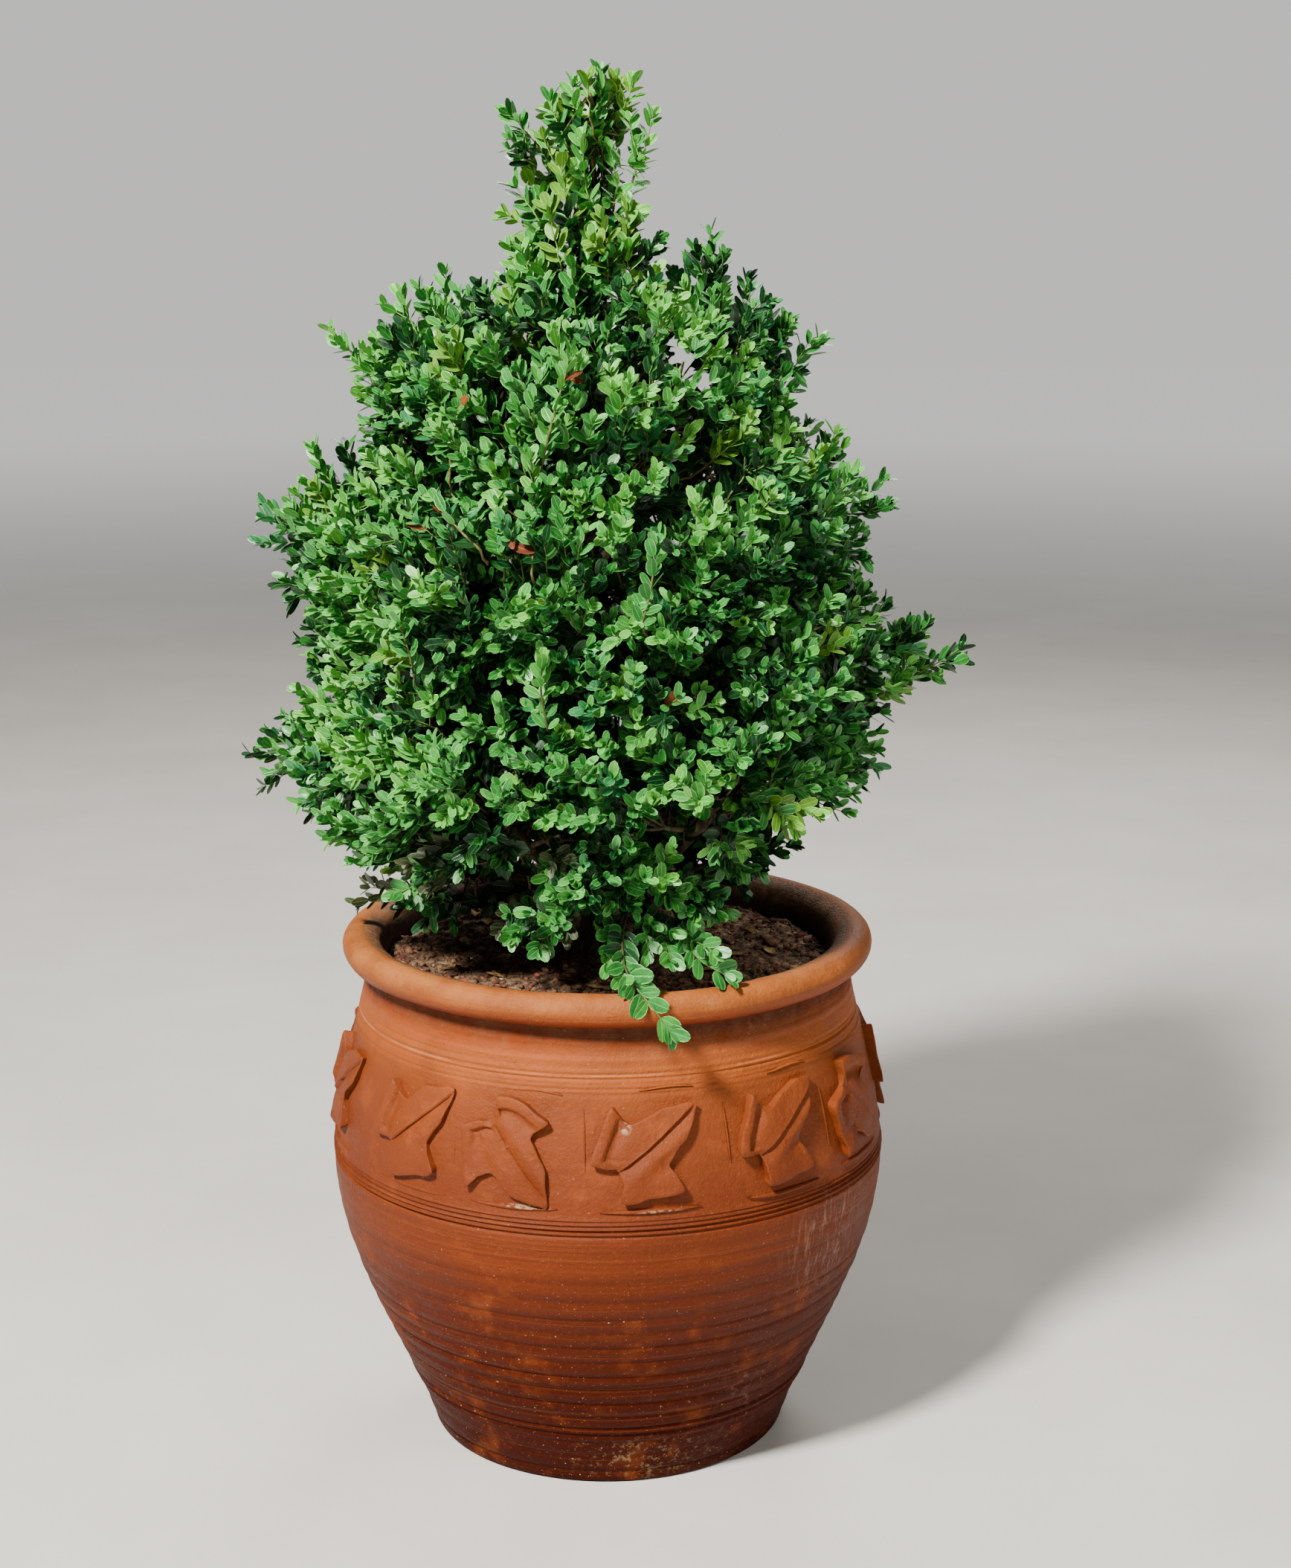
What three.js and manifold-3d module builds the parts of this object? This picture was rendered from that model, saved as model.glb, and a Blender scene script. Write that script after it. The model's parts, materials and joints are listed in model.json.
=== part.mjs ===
// A boxwood shrub grown as a loose cone, in a round terracotta pot with a frieze of ivy leaves in relief.
// Units are millimetres, +Z is up, and the origin is the centre of the pot's flat underside.
// The pot is one lathe-turned wall with drainage holes; the soil fills it to just under the rim.
// A single trunk stands on the soil and runs up inside the shrub; boughs leave it and each ends
// where it enters its own mass of foliage. The masses meet with narrow gaps and leave the core open.
import * as THREE from "three";
import { mergeVertices } from "three/addons/utils/BufferGeometryUtils.js";
import Module from "manifold-3d";

// ---------- driving dimensions ----------
const GAP = 0.35; // clearance between touching pieces
const POT_R_FOOT = 152; // radius of the flat underside
const POT_R_BELLY = 236.5; // widest radius of the wall
const POT_R_NECK = 206.5; // wall radius under the rolled rim
const RIM_R = 211.7; // centre line of the rolled rim
const RIM_ROLL = 13.3; // radius of the roll
const RIM_Z = 430; // height of the roll's centre
const WALL = 17; // clay thickness
const FLOOR = 20; // thickness of the pot's floor
const POT_SIDES = 36;
const DRAIN_R = 11; // radius of each drainage hole
const DRAIN_PCR = 55; // their distance from the centre
const DRAIN_COUNT = 3;
const INNER_Z = [400, 340, 272, 214, 142, 80, 42]; // heights of the inner wall's facets
const SOIL_Z = 416; // mean height of the soil
const TRUNK_TOP_Z = 962; // the trunk's tip, inside the spire's foot
const TRUNK_R_FOOT = 17; // above the root flare
const TRUNK_R_TOP = 5;
const TRUNK_FLARE = 13; // extra radius at the soil
const IVY_COUNT = 12; // relief leaves round the shoulder
const IVY_BACK = 3.2; // the back of a leaf, clear of the faceted wall
const IVY_LIFT = 10.5; // how far a leaf stands out of the wall
const CORE_R = 52; // open core round the trunk, where the boughs rise

// The wall's outer radius by height, from the foot to the neck.
const POT_OUTER = [
  [0, POT_R_FOOT], [22, 158.5], [50, 170], [80, 183.5], [112, 198], [142, 211],
  [168, 221], [194, 229.6], [220, 235], [246, POT_R_BELLY], [272, 234.6], [304, 229.3],
  [336, 222], [368, 213.6], [392, 208.4], [412, POT_R_NECK],
];

// The shrub's outline: how far it reaches from the pot's axis to the left, to the right,
// and to the front and back, by height.
const OUTLINE = [
  [424, 104, 90, 120], [447, 172, 106, 196], [461, 204, 112, 222], [481, 214, 122, 224], [511, 236, 150, 226],
  [534, 250, 158, 230], [552, 264, 176, 234], [573, 280, 214, 240], [591, 292, 214, 246], [622, 270, 232, 248],
  [652, 252, 252, 250], [683, 250, 284, 250], [706, 258, 262, 248], [736, 270, 216, 246], [775, 272, 200, 240],
  [806, 268, 214, 234], [827, 240, 222, 226], [866, 226, 186, 212], [905, 204, 168, 190], [939, 206, 162, 170],
  [970, 160, 128, 136], [989, 120, 100, 104], [1010, 86, 66, 76], [1035, 74, 44, 62], [1061, 74, 38, 56],
  [1095, 66, 36, 52], [1120, 62, 37, 48], [1140, 40, 29, 32], [1157, 3, 3, 3],
];

const root = new THREE.Group();
const wasm = await Module();
wasm.setup();

// ---------- small helpers ----------
// A repeatable number from 0 to 1 for an integer key.
function hash(n) {
  const s = Math.sin(n * 127.1 + 311.7) * 43758.5453;
  return s - Math.floor(s);
}
const V = (x, y, z) => new THREE.Vector3(x, y, z);
const deg = THREE.MathUtils.degToRad;

// Smooth wavy number in about -1 to 1 that depends on direction and a seed.
function wave(d, seed, f) {
  let s = 0;
  for (let k = 0; k < 4; k++) {
    const a = hash(seed * 17 + k * 3) * 6.283, b = hash(seed * 29 + k * 7) * 6.283;
    const w = f * (0.8 + 0.5 * k);
    s += Math.sin(w * d.x + a + 1.7 * k) * Math.cos(w * d.y + b) * Math.cos(w * d.z - a) / (1 + 0.6 * k);
  }
  return s;
}

function toManifold(geometry) {
  const g = geometry.clone();
  g.deleteAttribute("normal");
  g.deleteAttribute("uv");
  const m = mergeVertices(g, 1e-4);
  return new wasm.Manifold(new wasm.Mesh({
    numProp: 3,
    vertProperties: new Float32Array(m.attributes.position.array),
    triVerts: new Uint32Array(m.index.array),
  }));
}

// The largest body of a manifold solid, as a geometry.
function fromManifold(s) {
  const bodies = s.decompose();
  const big = bodies.reduce((a, b) => (b.volume() > a.volume() ? b : a));
  const m = big.getMesh();
  const g = new THREE.BufferGeometry();
  g.setAttribute("position", new THREE.BufferAttribute(new Float32Array(m.vertProperties), 3));
  g.setIndex(new THREE.BufferAttribute(new Uint32Array(m.triVerts), 1));
  g.computeVertexNormals();
  return g;
}

function add(name, geometry, material) {
  const mesh = new THREE.Mesh(geometry, material);
  mesh.name = name;
  root.add(mesh);
  return mesh;
}

// A closed profile turned round Z.
function turned(points, sides) {
  const g = new THREE.LatheGeometry(points.map(([r, z]) => new THREE.Vector2(r, z)), sides);
  g.rotateX(Math.PI / 2); // the lathe's axis is Y; this stands it up
  return g;
}

function outerRadius(z) {
  const p = POT_OUTER;
  if (z <= p[0][0]) return p[0][1];
  for (let i = 1; i < p.length; i++)
    if (z <= p[i][0]) {
      const t = (z - p[i - 1][0]) / (p[i][0] - p[i - 1][0]);
      return p[i - 1][1] + t * (p[i][1] - p[i - 1][1]);
    }
  return p[p.length - 1][1];
}

// A tapering limb of ring sections along points, with a radius at each.
function limb(points, radii, sides, flareLobes = 0) {
  const pos = [], idx = [], n = points.length;
  const tangent = (i) => points[Math.min(i + 1, n - 1)].clone().sub(points[Math.max(i - 1, 0)]).normalize();
  let side = V(1, 0, 0);
  for (let i = 0; i < n; i++) {
    const t = i === 0 && flareLobes ? V(0, 0, 1) : tangent(i);
    side.sub(t.clone().multiplyScalar(side.dot(t))).normalize();
    const up = t.clone().cross(side);
    for (let k = 0; k < sides; k++) {
      const a = (k / sides) * Math.PI * 2;
      const fade = flareLobes ? Math.max(0, 1 - i / 3) : 0;
      const r = radii[i] * (1 + 0.16 * fade * Math.cos(flareLobes * a + 0.7));
      const p = points[i].clone().addScaledVector(side, r * Math.cos(a)).addScaledVector(up, r * Math.sin(a));
      pos.push(p.x, p.y, p.z);
    }
  }
  const a0 = pos.length / 3;
  pos.push(points[0].x, points[0].y, points[0].z, points[n - 1].x, points[n - 1].y, points[n - 1].z);
  for (let i = 0; i < n - 1; i++)
    for (let k = 0; k < sides; k++) {
      const a = i * sides + k, b = i * sides + ((k + 1) % sides), c = a + sides, d = b + sides;
      idx.push(a, b, d, a, d, c);
    }
  for (let k = 0; k < sides; k++) {
    idx.push(a0, (k + 1) % sides, k);
    idx.push(a0 + 1, (n - 1) * sides + k, (n - 1) * sides + ((k + 1) % sides));
  }
  const g = new THREE.BufferGeometry();
  g.setAttribute("position", new THREE.BufferAttribute(new Float32Array(pos), 3));
  g.setIndex(idx);
  g.computeVertexNormals();
  return g;
}

// ---------- materials ----------
const terracotta = new THREE.MeshStandardMaterial({ color: 0xb4623a, roughness: 0.85, metalness: 0 });
const terracottaRelief = new THREE.MeshStandardMaterial({ color: 0xb8663c, roughness: 0.85, metalness: 0 });
const soilMaterial = new THREE.MeshStandardMaterial({ color: 0x33241c, roughness: 1, metalness: 0 });
const bark = new THREE.MeshStandardMaterial({ color: 0x77694a, roughness: 0.9, metalness: 0 });
const foliage = new THREE.MeshStandardMaterial({ color: 0x3f7a37, roughness: 0.6, metalness: 0 });

// ---------- pot ----------
{
  const pts = POT_OUTER.map(([z, r]) => [r, z]);
  // rolled rim, from the neck round the outside to the top and in
  for (const a of [-58, -16, 26, 66, 104]) {
    pts.push([RIM_R + RIM_ROLL * Math.cos(deg(a)), RIM_Z + RIM_ROLL * Math.sin(deg(a))]);
  }
  pts.push([RIM_R - 17.5, RIM_Z + 7.5]);
  pts.push([RIM_R - 21.5, RIM_Z - 3]);
  // inner wall, down to the floor
  for (const z of INNER_Z) pts.push([outerRadius(z) - WALL, z]);
  pts.push([outerRadius(FLOOR + 8) - WALL - 8, FLOOR]);
  pts.push([0, FLOOR]);
  const profile = [[0, 0], ...pts];
  let pot = toManifold(turned(profile, POT_SIDES));
  if (pot.volume() < 0) throw new Error("pot profile runs the wrong way");
  for (let k = 0; k < DRAIN_COUNT; k++) {
    const a = deg(30 + (360 / DRAIN_COUNT) * k);
    const hole = new THREE.CylinderGeometry(DRAIN_R, DRAIN_R, FLOOR * 3, 12);
    hole.rotateX(Math.PI / 2);
    hole.translate(DRAIN_PCR * Math.cos(a), DRAIN_PCR * Math.sin(a), 0);
    pot = pot.subtract(toManifold(hole));
  }
  add("pot", fromManifold(pot), terracotta);
}

// ---------- soil ----------
{
  const p = [[0, FLOOR + GAP]];
  p.push([outerRadius(FLOOR + 8) - WALL - 8 - 1.2, FLOOR + GAP]);
  for (const z of [...INNER_Z].reverse()) p.push([outerRadius(z) - WALL - 1.0, z]);
  p.push([outerRadius(400) - WALL - 9, SOIL_Z - 6]);
  p.push([120, SOIL_Z + 1]);
  p.push([44, SOIL_Z]);
  p.push([0, SOIL_Z]);
  const g = turned(p, POT_SIDES);
  add("soil", g, soilMaterial);
}

// ---------- relief leaves of ivy ----------
// Half outline of a five-lobed leaf in its own plane: how far to the side and how far along from the
// stalk toward the tip, as fractions of the distance between those two.
const IVY_OUTLINE = [
  [0.0, 1.0], [0.19, 0.6], [0.265, 0.36], [0.565, 0.33], [0.41, 0.05], [0.235, -0.185], [0.0, -0.02],
];
const IVY_MIDDLE = 0.36; // the leaf's middle, along the same line
const IVY_SIZE = 80; // from stalk to tip
// Round the pot, degrees from the front toward the right, and how each leaf is turned in its own plane.
const IVY_AROUND = [-43, -19, 8, 37.5, 63.7, 94, 125.5, 157, 188.5, 220, 252, 284];
const IVY_TURN = [-50, -141, -52, -54, -133, -52, -140, -50, -55, -136, -50, -54];
const IVY_Z = [323, 312]; // height of the middle of a leaf that points up, and of one that points down
function ivyRelief(k) {
  const shape = [...IVY_OUTLINE, ...IVY_OUTLINE.slice(1, -1).reverse().map(([x, y]) => [-x, y])];
  const ca = Math.cos(deg(IVY_TURN[k])), sa = Math.sin(deg(IVY_TURN[k]));
  // Each outline point is laid on the wall: u runs round it, w up it.
  const on = ([x, y], lift) => {
    y -= IVY_MIDDLE;
    const u = (x * ca - y * sa) * IVY_SIZE, w = (x * sa + y * ca) * IVY_SIZE;
    const z = IVY_Z[IVY_TURN[k] > -90 ? 0 : 1] + w, a = deg(IVY_AROUND[k] - 90) + u / 228;
    const r = outerRadius(z) + lift;
    return V(r * Math.cos(a), r * Math.sin(a), z);
  };
  // The leaf is a fan from its middle: a back skin on the wall and a face that stands out of it.
  const n = shape.length, pos = [], idx = [], centre = [0, IVY_MIDDLE - 0.06];
  const push = (v) => { pos.push(v.x, v.y, v.z); return pos.length / 3 - 1; };
  const mixed = (p, t) => [centre[0] + (p[0] - centre[0]) * t, centre[1] + (p[1] - centre[1]) * t];
  const back = push(on(centre, IVY_BACK)), face = push(on(centre, IVY_LIFT - 1.5));
  const rim = shape.map((p) => push(on(p, IVY_BACK)));
  const edge = shape.map((p) => push(on(p, IVY_LIFT * 0.7)));
  const swell = shape.map((p) => push(on(mixed(p, 0.55), IVY_LIFT)));
  for (let i = 0; i < n; i++) {
    const j = (i + 1) % n;
    idx.push(face, swell[j], swell[i]);
    idx.push(swell[i], swell[j], edge[j], swell[i], edge[j], edge[i]);
    idx.push(edge[i], edge[j], rim[j], edge[i], rim[j], rim[i]);
    idx.push(back, rim[i], rim[j]);
  }
  const g = new THREE.BufferGeometry();
  g.setAttribute("position", new THREE.BufferAttribute(new Float32Array(pos), 3));
  g.setIndex(idx);
  g.computeVertexNormals();
  return g;
}
for (let k = 0; k < IVY_COUNT; k++) {
  const s = toManifold(ivyRelief(k));
  if (s.volume() < 0) throw new Error("relief leaf is inside out");
  add("ivy_relief_" + String(k + 1).padStart(2, "0"), fromManifold(s), terracottaRelief);
}

// ---------- masses of foliage ----------
// Each has a centre, how far it may reach at most, and the tips of its longest sprays, all in one frame.
// The tips at the left and right are those of the shrub's outline; the others follow their pattern.
const MASSES = [
  ["spire_top", [-12, 0, 1092], 90, [[-2, 0, 1157], [26, 6, 1145], [-44, -6, 1131], [38, -8, 1120], [-82, 4, 1119], [-20, 48, 1112], [-16, -46, 1104]]],
  ["spire_neck", [-26, -2, 1008], 96, [[-73, 0, 1061], [32, 4, 1054], [-84, -10, 992], [-26, -66, 1030], [-30, 64, 1026]]],
  ["shoulder_left", [-126, -20, 912], 128, [[-128, -10, 996], [-166, -16, 980], [-227, -12, 949], [-206, 14, 905], [-160, -80, 955]]],
  ["shoulder_right", [98, 4, 920], 124, [[84, 0, 1027], [116, 12, 989], [136, -20, 970], [181, 6, 939], [60, -60, 985]]],
  ["shoulder_front", [-14, -112, 880], 120, [[-40, -172, 958], [20, -196, 920], [-70, -190, 898]]],
  ["shoulder_back", [-10, 114, 890], 120, [[24, 168, 972], [-52, 182, 930], [40, 206, 888]]],
  ["flank_left", [-168, -10, 764], 134, [[-243, -6, 854], [-240, -30, 822], [-286, -4, 806], [-278, 12, 731], [-222, 90, 826]]],
  ["flank_front_left", [-84, -144, 738], 130, [[-118, -226, 810], [-60, -252, 764], [-170, -196, 764]]],
  ["flank_front_right", [80, -146, 756], 130, [[66, -236, 834], [134, -214, 792], [40, -250, 730]]],
  ["flank_right", [146, -6, 772], 130, [[191, 0, 866], [234, -8, 827], [193, 10, 775], [196, -84, 838]]],
  ["flank_back_right", [90, 140, 744], 130, [[122, 214, 828], [60, 250, 770], [168, 192, 746]]],
  ["flank_back_left", [-86, 142, 752], 130, [[-110, 216, 842], [-50, 252, 786], [-168, 200, 740]]],
  ["skirt_left", [-172, 8, 606], 146, [[-251, 4, 678], [-261, -20, 652], [-279, 10, 622], [-309, 0, 591], [-255, 6, 534]]],
  ["skirt_front_left", [-84, -146, 588], 132, [[-130, -246, 640], [-66, -258, 600], [-190, -184, 560]]],
  ["skirt_front_right", [86, -146, 594], 132, [[112, -238, 660], [60, -262, 612], [168, -190, 580]]],
  ["skirt_right", [160, 0, 634], 152, [[213, 6, 736], [272, -6, 706], [303, 0, 683], [257, 10, 643], [209, -14, 596], [232, 0, 573]]],
  ["skirt_back_right", [92, 146, 596], 132, [[126, 240, 652], [64, 262, 596], [186, 184, 566]]],
  ["skirt_back_left", [-88, 148, 596], 132, [[-116, 246, 660], [-52, 258, 610], [-196, 182, 556]]],
  ["hem_left", [-116, -26, 496], 116, [[-217, -12, 461], [-184, 20, 449], [-150, -116, 470]]],
  ["hem_front", [20, -128, 492], 118, [[58, -243, 449], [-44, -222, 462], [116, -170, 466]]],
  ["hem_back", [2, 124, 496], 116, [[-60, 216, 462], [66, 208, 470]]],
  ["hem_right", [98, 0, 500], 96, [[164, -6, 511], [124, 12, 481], [156, 10, 552]]],
];
const TIP_SHARP = 20; // how narrow a tip's cone is
const ROUNDING = 9; // higher keeps the edges between a mass's faces crisper

const centreOf = (m) => V(...m[1]);

// Reach of the shrub from its axis in the direction of a point.
function outlineReach(x, y, z) {
  const o = OUTLINE;
  if (z <= o[0][0] || z >= o[o.length - 1][0]) return 0;
  let i = 1;
  while (z > o[i][0]) i++;
  const t = (z - o[i - 1][0]) / (o[i][0] - o[i - 1][0]);
  const left = o[i - 1][1] + t * (o[i][1] - o[i - 1][1]), right = o[i - 1][2] + t * (o[i][2] - o[i - 1][2]);
  const r = Math.hypot(x, y) || 1e-6, across = x < 0 ? left : right, along = o[i - 1][3] + t * (o[i][3] - o[i - 1][3]);
  return 1 / Math.hypot(x / r / across, y / r / along);
}

// Distance from a point inside the shrub to its outline along a direction.
function toOutline(c, d, most) {
  let far = 0;
  for (let s = 4; s <= most; s += 4) {
    const x = c.x + d.x * s, y = c.y + d.y * s, z = c.z + d.z * s;
    if (Math.hypot(x, y) > outlineReach(x, y, z)) break;
    far = s;
  }
  return Math.max(far, 12);
}

function massGeometry(index, grow) {
  const m = MASSES[index], c = centreOf(m), most = m[2], g = new THREE.IcosahedronGeometry(1, 2);
  g.deleteAttribute("normal");
  g.deleteAttribute("uv");
  const geo = mergeVertices(g, 1e-4), p = geo.attributes.position;
  // Planes between this mass and each neighbour.
  const planes = [];
  MASSES.forEach((o, j) => {
    if (j === index) return;
    const d = centreOf(o).sub(c), l = d.length();
    planes.push([d.normalize(), l * (most / (most + o[2])) - 0.6 * GAP + grow]);
  });
  // The open core round the trunk, below the spire.
  const flat = V(-c.x, -c.y, 0), away = flat.length();
  if (away > CORE_R) planes.push([flat.normalize(), away - CORE_R + grow]);
  const ownPlanes = (d, r) => {
    for (const [n, far] of planes) {
      const s = d.dot(n);
      if (s > 1e-4) r = Math.min(r, far / s);
    }
    return r;
  };
  const rounded = (d) => {
    const own = Math.min(most, toOutline(c, d, most) * (1 + 0.06 * wave(d, index + 1, 3.4)));
    let sum = Math.pow(own, -ROUNDING);
    for (const [n, far] of planes) {
      const s = d.dot(n);
      if (s > 0.05) sum += Math.pow(far / s, -ROUNDING);
    }
    return Math.pow(sum, -1 / ROUNDING) * (1 + 0.035 * wave(d, index + 60, 7)) + grow;
  };
  const dirs = [];
  for (let i = 0; i < p.count; i++) dirs.push(V(p.getX(i), p.getY(i), p.getZ(i)).normalize());
  const reach = dirs.map(rounded);
  for (const tip of m[3]) {
    const t = V(...tip).sub(c), far = t.length();
    t.normalize();
    let near = 0;
    dirs.forEach((d, i) => { if (d.dot(t) > dirs[near].dot(t)) near = i; });
    dirs[near] = t; // the nearest corner becomes the tip
    dirs.forEach((d, i) => {
      const w = Math.exp(-TIP_SHARP * (1 - d.dot(t)));
      if (far + grow > reach[i]) reach[i] += (far + grow - reach[i]) * w;
    });
  }
  dirs.forEach((d, i) => {
    const r = ownPlanes(d, reach[i]);
    p.setXYZ(i, c.x + d.x * r, c.y + d.y * r, c.z + d.z * r);
  });
  geo.computeVertexNormals();
  return geo;
}

// The masses stay above the rim, so that the space over the soil is open for watering.
const rimGuard = (() => {
  const top = RIM_Z + RIM_ROLL + 3, p = [[0, 340], [232, 340], [232, RIM_Z - 10], [228, top], [0, top]];
  return toManifold(turned(p, POT_SIDES));
})();
if (rimGuard.volume() < 0) throw new Error("guard profile runs the wrong way");

// ---------- trunk ----------
function trunkLine(t) {
  // lean and gentle bends of the trunk, t from 0 at the soil to 1 in the spire
  const z = SOIL_Z + GAP + t * (TRUNK_TOP_Z - SOIL_Z);
  return V(-4 - 14 * t + 7 * Math.sin(t * 7.5) * (0.35 + 0.65 * t), -2 + 6 * Math.sin(t * 5.2 + 1) * t, z);
}
const trunkRadius = (t) =>
  TRUNK_R_FOOT + (TRUNK_R_TOP - TRUNK_R_FOOT) * Math.pow(t, 0.8) + TRUNK_FLARE * Math.exp(-t * 38);
function trunkGeometry(grow) {
  const ts = [0, 0.02, 0.05, 0.1, 0.18, 0.27, 0.36, 0.46, 0.56, 0.66, 0.76, 0.86, 0.94, 1.0];
  return limb(ts.map(trunkLine), ts.map((t) => trunkRadius(t) + grow), 8, 4);
}

const massSolids = MASSES.map((m, i) => {
  let s = toManifold(massGeometry(i, 0));
  if (s.volume() < 0) throw new Error(m[0] + " is inside out");
  if (m[1][2] < 560) s = s.subtract(rimGuard);
  return s;
});
const trunkSolid = toManifold(trunkGeometry(0));
const trunkWide = toManifold(trunkGeometry(GAP));
massSolids.forEach((s, i) => {
  const clear = s.subtract(trunkWide);
  massSolids[i] = clear;
  add(MASSES[i][0], fromManifold(clear), foliage);
});
{
  // the trunk ends inside the spire's foot, where the neck mass is cut round it
  add("trunk", fromManifold(trunkSolid), bark);
}

// ---------- boughs ----------
// One for each mass that the trunk doesn't enter: it leaves the trunk low and bends up into its mass.
const wide = MASSES.map((m, i) => {
  let s = toManifold(massGeometry(i, GAP + 0.4));
  return s;
});
const earlier = []; // each bough keeps clear of the ones before it
MASSES.forEach((m, i) => {
  if (m[0].startsWith("spire")) return;
  const c = centreOf(m), low = m[1][2] < 560;
  const t0 = low ? 0.05 + 0.03 * hash(i) : Math.min(0.86, Math.max(0.12, (c.z - SOIL_Z - 120 - 75 * hash(i + 5)) / (TRUNK_TOP_Z - SOIL_Z)));
  const start = trunkLine(t0);
  const out = V(c.x - start.x, c.y - start.y, 0);
  const end = V(c.x, c.y, c.z - (low ? 6 : 18));
  const pts = [], radii = [], n = 4;
  const r0 = (low ? 5.2 : 8.6 - 4 * t0), r1 = r0 * 0.55;
  for (let k = 0; k <= n; k++) {
    const t = k / n;
    const p = start.clone().lerp(end, t);
    p.z += (low ? 10 : -16) * Math.sin(Math.PI * t);
    p.x += 6 * (hash(i * 9 + k) - 0.5) * Math.sin(Math.PI * t);
    p.y += 6 * (hash(i * 11 + k) - 0.5) * Math.sin(Math.PI * t);
    pts.push(p);
    radii.push(r0 + (r1 - r0) * t);
  }
  let s = toManifold(limb(pts, radii, 6));
  if (s.volume() < 0) throw new Error("bough of " + m[0] + " is inside out");
  s = s.subtract(trunkWide);
  for (const w of [...wide, ...earlier]) s = s.subtract(w);
  earlier.push(toManifold(limb(pts, radii.map((r) => r + GAP), 6)));
  const bodies = s.decompose().filter((b) => b.volume() > 30);
  if (!bodies.length) throw new Error("bough of " + m[0] + " is empty");
  add("bough_" + m[0], fromManifold(s), bark);
});

export default root;
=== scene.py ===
"""Looks of a potted boxwood topiary: a loose cone of small glossy leaves on fine twigs, over a hand-thrown
terracotta pot with a rolled rim, throwing rings and ivy leaves in relief. Metres, +Z up."""
import json
import math

import bpy
import numpy as np
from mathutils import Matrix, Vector
from mathutils.bvhtree import BVHTree

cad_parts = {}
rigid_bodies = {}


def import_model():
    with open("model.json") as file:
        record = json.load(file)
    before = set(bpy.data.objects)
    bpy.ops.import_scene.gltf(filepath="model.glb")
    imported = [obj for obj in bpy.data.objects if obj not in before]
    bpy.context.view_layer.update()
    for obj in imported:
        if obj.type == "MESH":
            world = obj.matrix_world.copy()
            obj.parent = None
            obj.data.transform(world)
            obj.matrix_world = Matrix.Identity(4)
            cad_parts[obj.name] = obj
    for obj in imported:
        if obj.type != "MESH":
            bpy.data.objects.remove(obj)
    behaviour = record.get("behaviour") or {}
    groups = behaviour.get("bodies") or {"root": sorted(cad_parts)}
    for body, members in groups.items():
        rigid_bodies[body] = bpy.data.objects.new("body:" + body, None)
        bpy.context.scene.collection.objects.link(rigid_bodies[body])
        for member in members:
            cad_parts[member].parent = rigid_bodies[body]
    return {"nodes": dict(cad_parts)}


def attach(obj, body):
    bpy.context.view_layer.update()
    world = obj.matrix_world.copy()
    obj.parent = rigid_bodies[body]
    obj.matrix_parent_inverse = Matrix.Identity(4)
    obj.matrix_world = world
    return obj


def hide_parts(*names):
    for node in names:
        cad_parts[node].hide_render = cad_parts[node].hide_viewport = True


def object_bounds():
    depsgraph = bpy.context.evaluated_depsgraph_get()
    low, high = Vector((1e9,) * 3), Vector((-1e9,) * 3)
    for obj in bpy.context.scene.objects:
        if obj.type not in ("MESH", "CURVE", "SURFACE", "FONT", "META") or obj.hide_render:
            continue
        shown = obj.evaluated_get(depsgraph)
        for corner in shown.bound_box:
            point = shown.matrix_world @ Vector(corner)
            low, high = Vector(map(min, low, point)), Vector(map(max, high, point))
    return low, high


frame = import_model()
cad_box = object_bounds()
NODES = frame["nodes"]
rng = np.random.default_rng(7)
MM = 0.001

# ------------------------------------------------------------------ camera
cam_data = bpy.data.cameras.new("camera")
cam_data.lens = 61.09
cam_data.sensor_width = 36.0
cam_data.sensor_fit = "AUTO"
cam_data.clip_end = 60
camera = bpy.data.objects.new("camera", cam_data)
camera.location = (0.0, -2.19327, 1.05391)
camera.rotation_euler = (math.pi / 2 - 0.2200985, 0.0, -0.0148685)
bpy.context.scene.collection.objects.link(camera)
bpy.context.scene.camera = camera


# ------------------------------------------------------------------ mesh helpers
def make_object(name, verts, faces, material, uv=None, smooth=True, index=None):
    """A mesh object from arrays. faces is an (n, 3) or (n, 4) array, or a list of such arrays."""
    groups = [np.asarray(f, np.int32) for f in (faces if isinstance(faces, list) else [faces]) if len(f)]
    verts = np.asarray(verts, np.float32)
    mesh = bpy.data.meshes.new(name)
    mesh.vertices.add(len(verts))
    mesh.vertices.foreach_set("co", verts.ravel())
    corners = np.concatenate([g.ravel() for g in groups])
    sizes = np.concatenate([np.full(len(g), g.shape[1], np.int32) for g in groups])
    starts = np.concatenate([[0], np.cumsum(sizes)[:-1]]).astype(np.int32)
    mesh.loops.add(len(corners))
    mesh.loops.foreach_set("vertex_index", corners)
    mesh.polygons.add(len(sizes))
    mesh.polygons.foreach_set("loop_start", starts)
    mesh.polygons.foreach_set("loop_total", sizes)
    if index is not None:
        mesh.polygons.foreach_set("material_index", np.asarray(index, np.int32))
    if uv is not None:
        layer = mesh.uv_layers.new(name="leaf")
        layer.uv.foreach_set("vector", np.asarray(uv, np.float32)[corners].ravel())
    mesh.update(calc_edges=True)
    mesh.validate()
    if smooth:
        mesh.polygons.foreach_set("use_smooth", np.ones(len(mesh.polygons), bool))
    obj = bpy.data.objects.new(name, mesh)
    bpy.context.scene.collection.objects.link(obj)
    for m in material if isinstance(material, (list, tuple)) else [material]:
        mesh.materials.append(m)
    return obj


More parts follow.
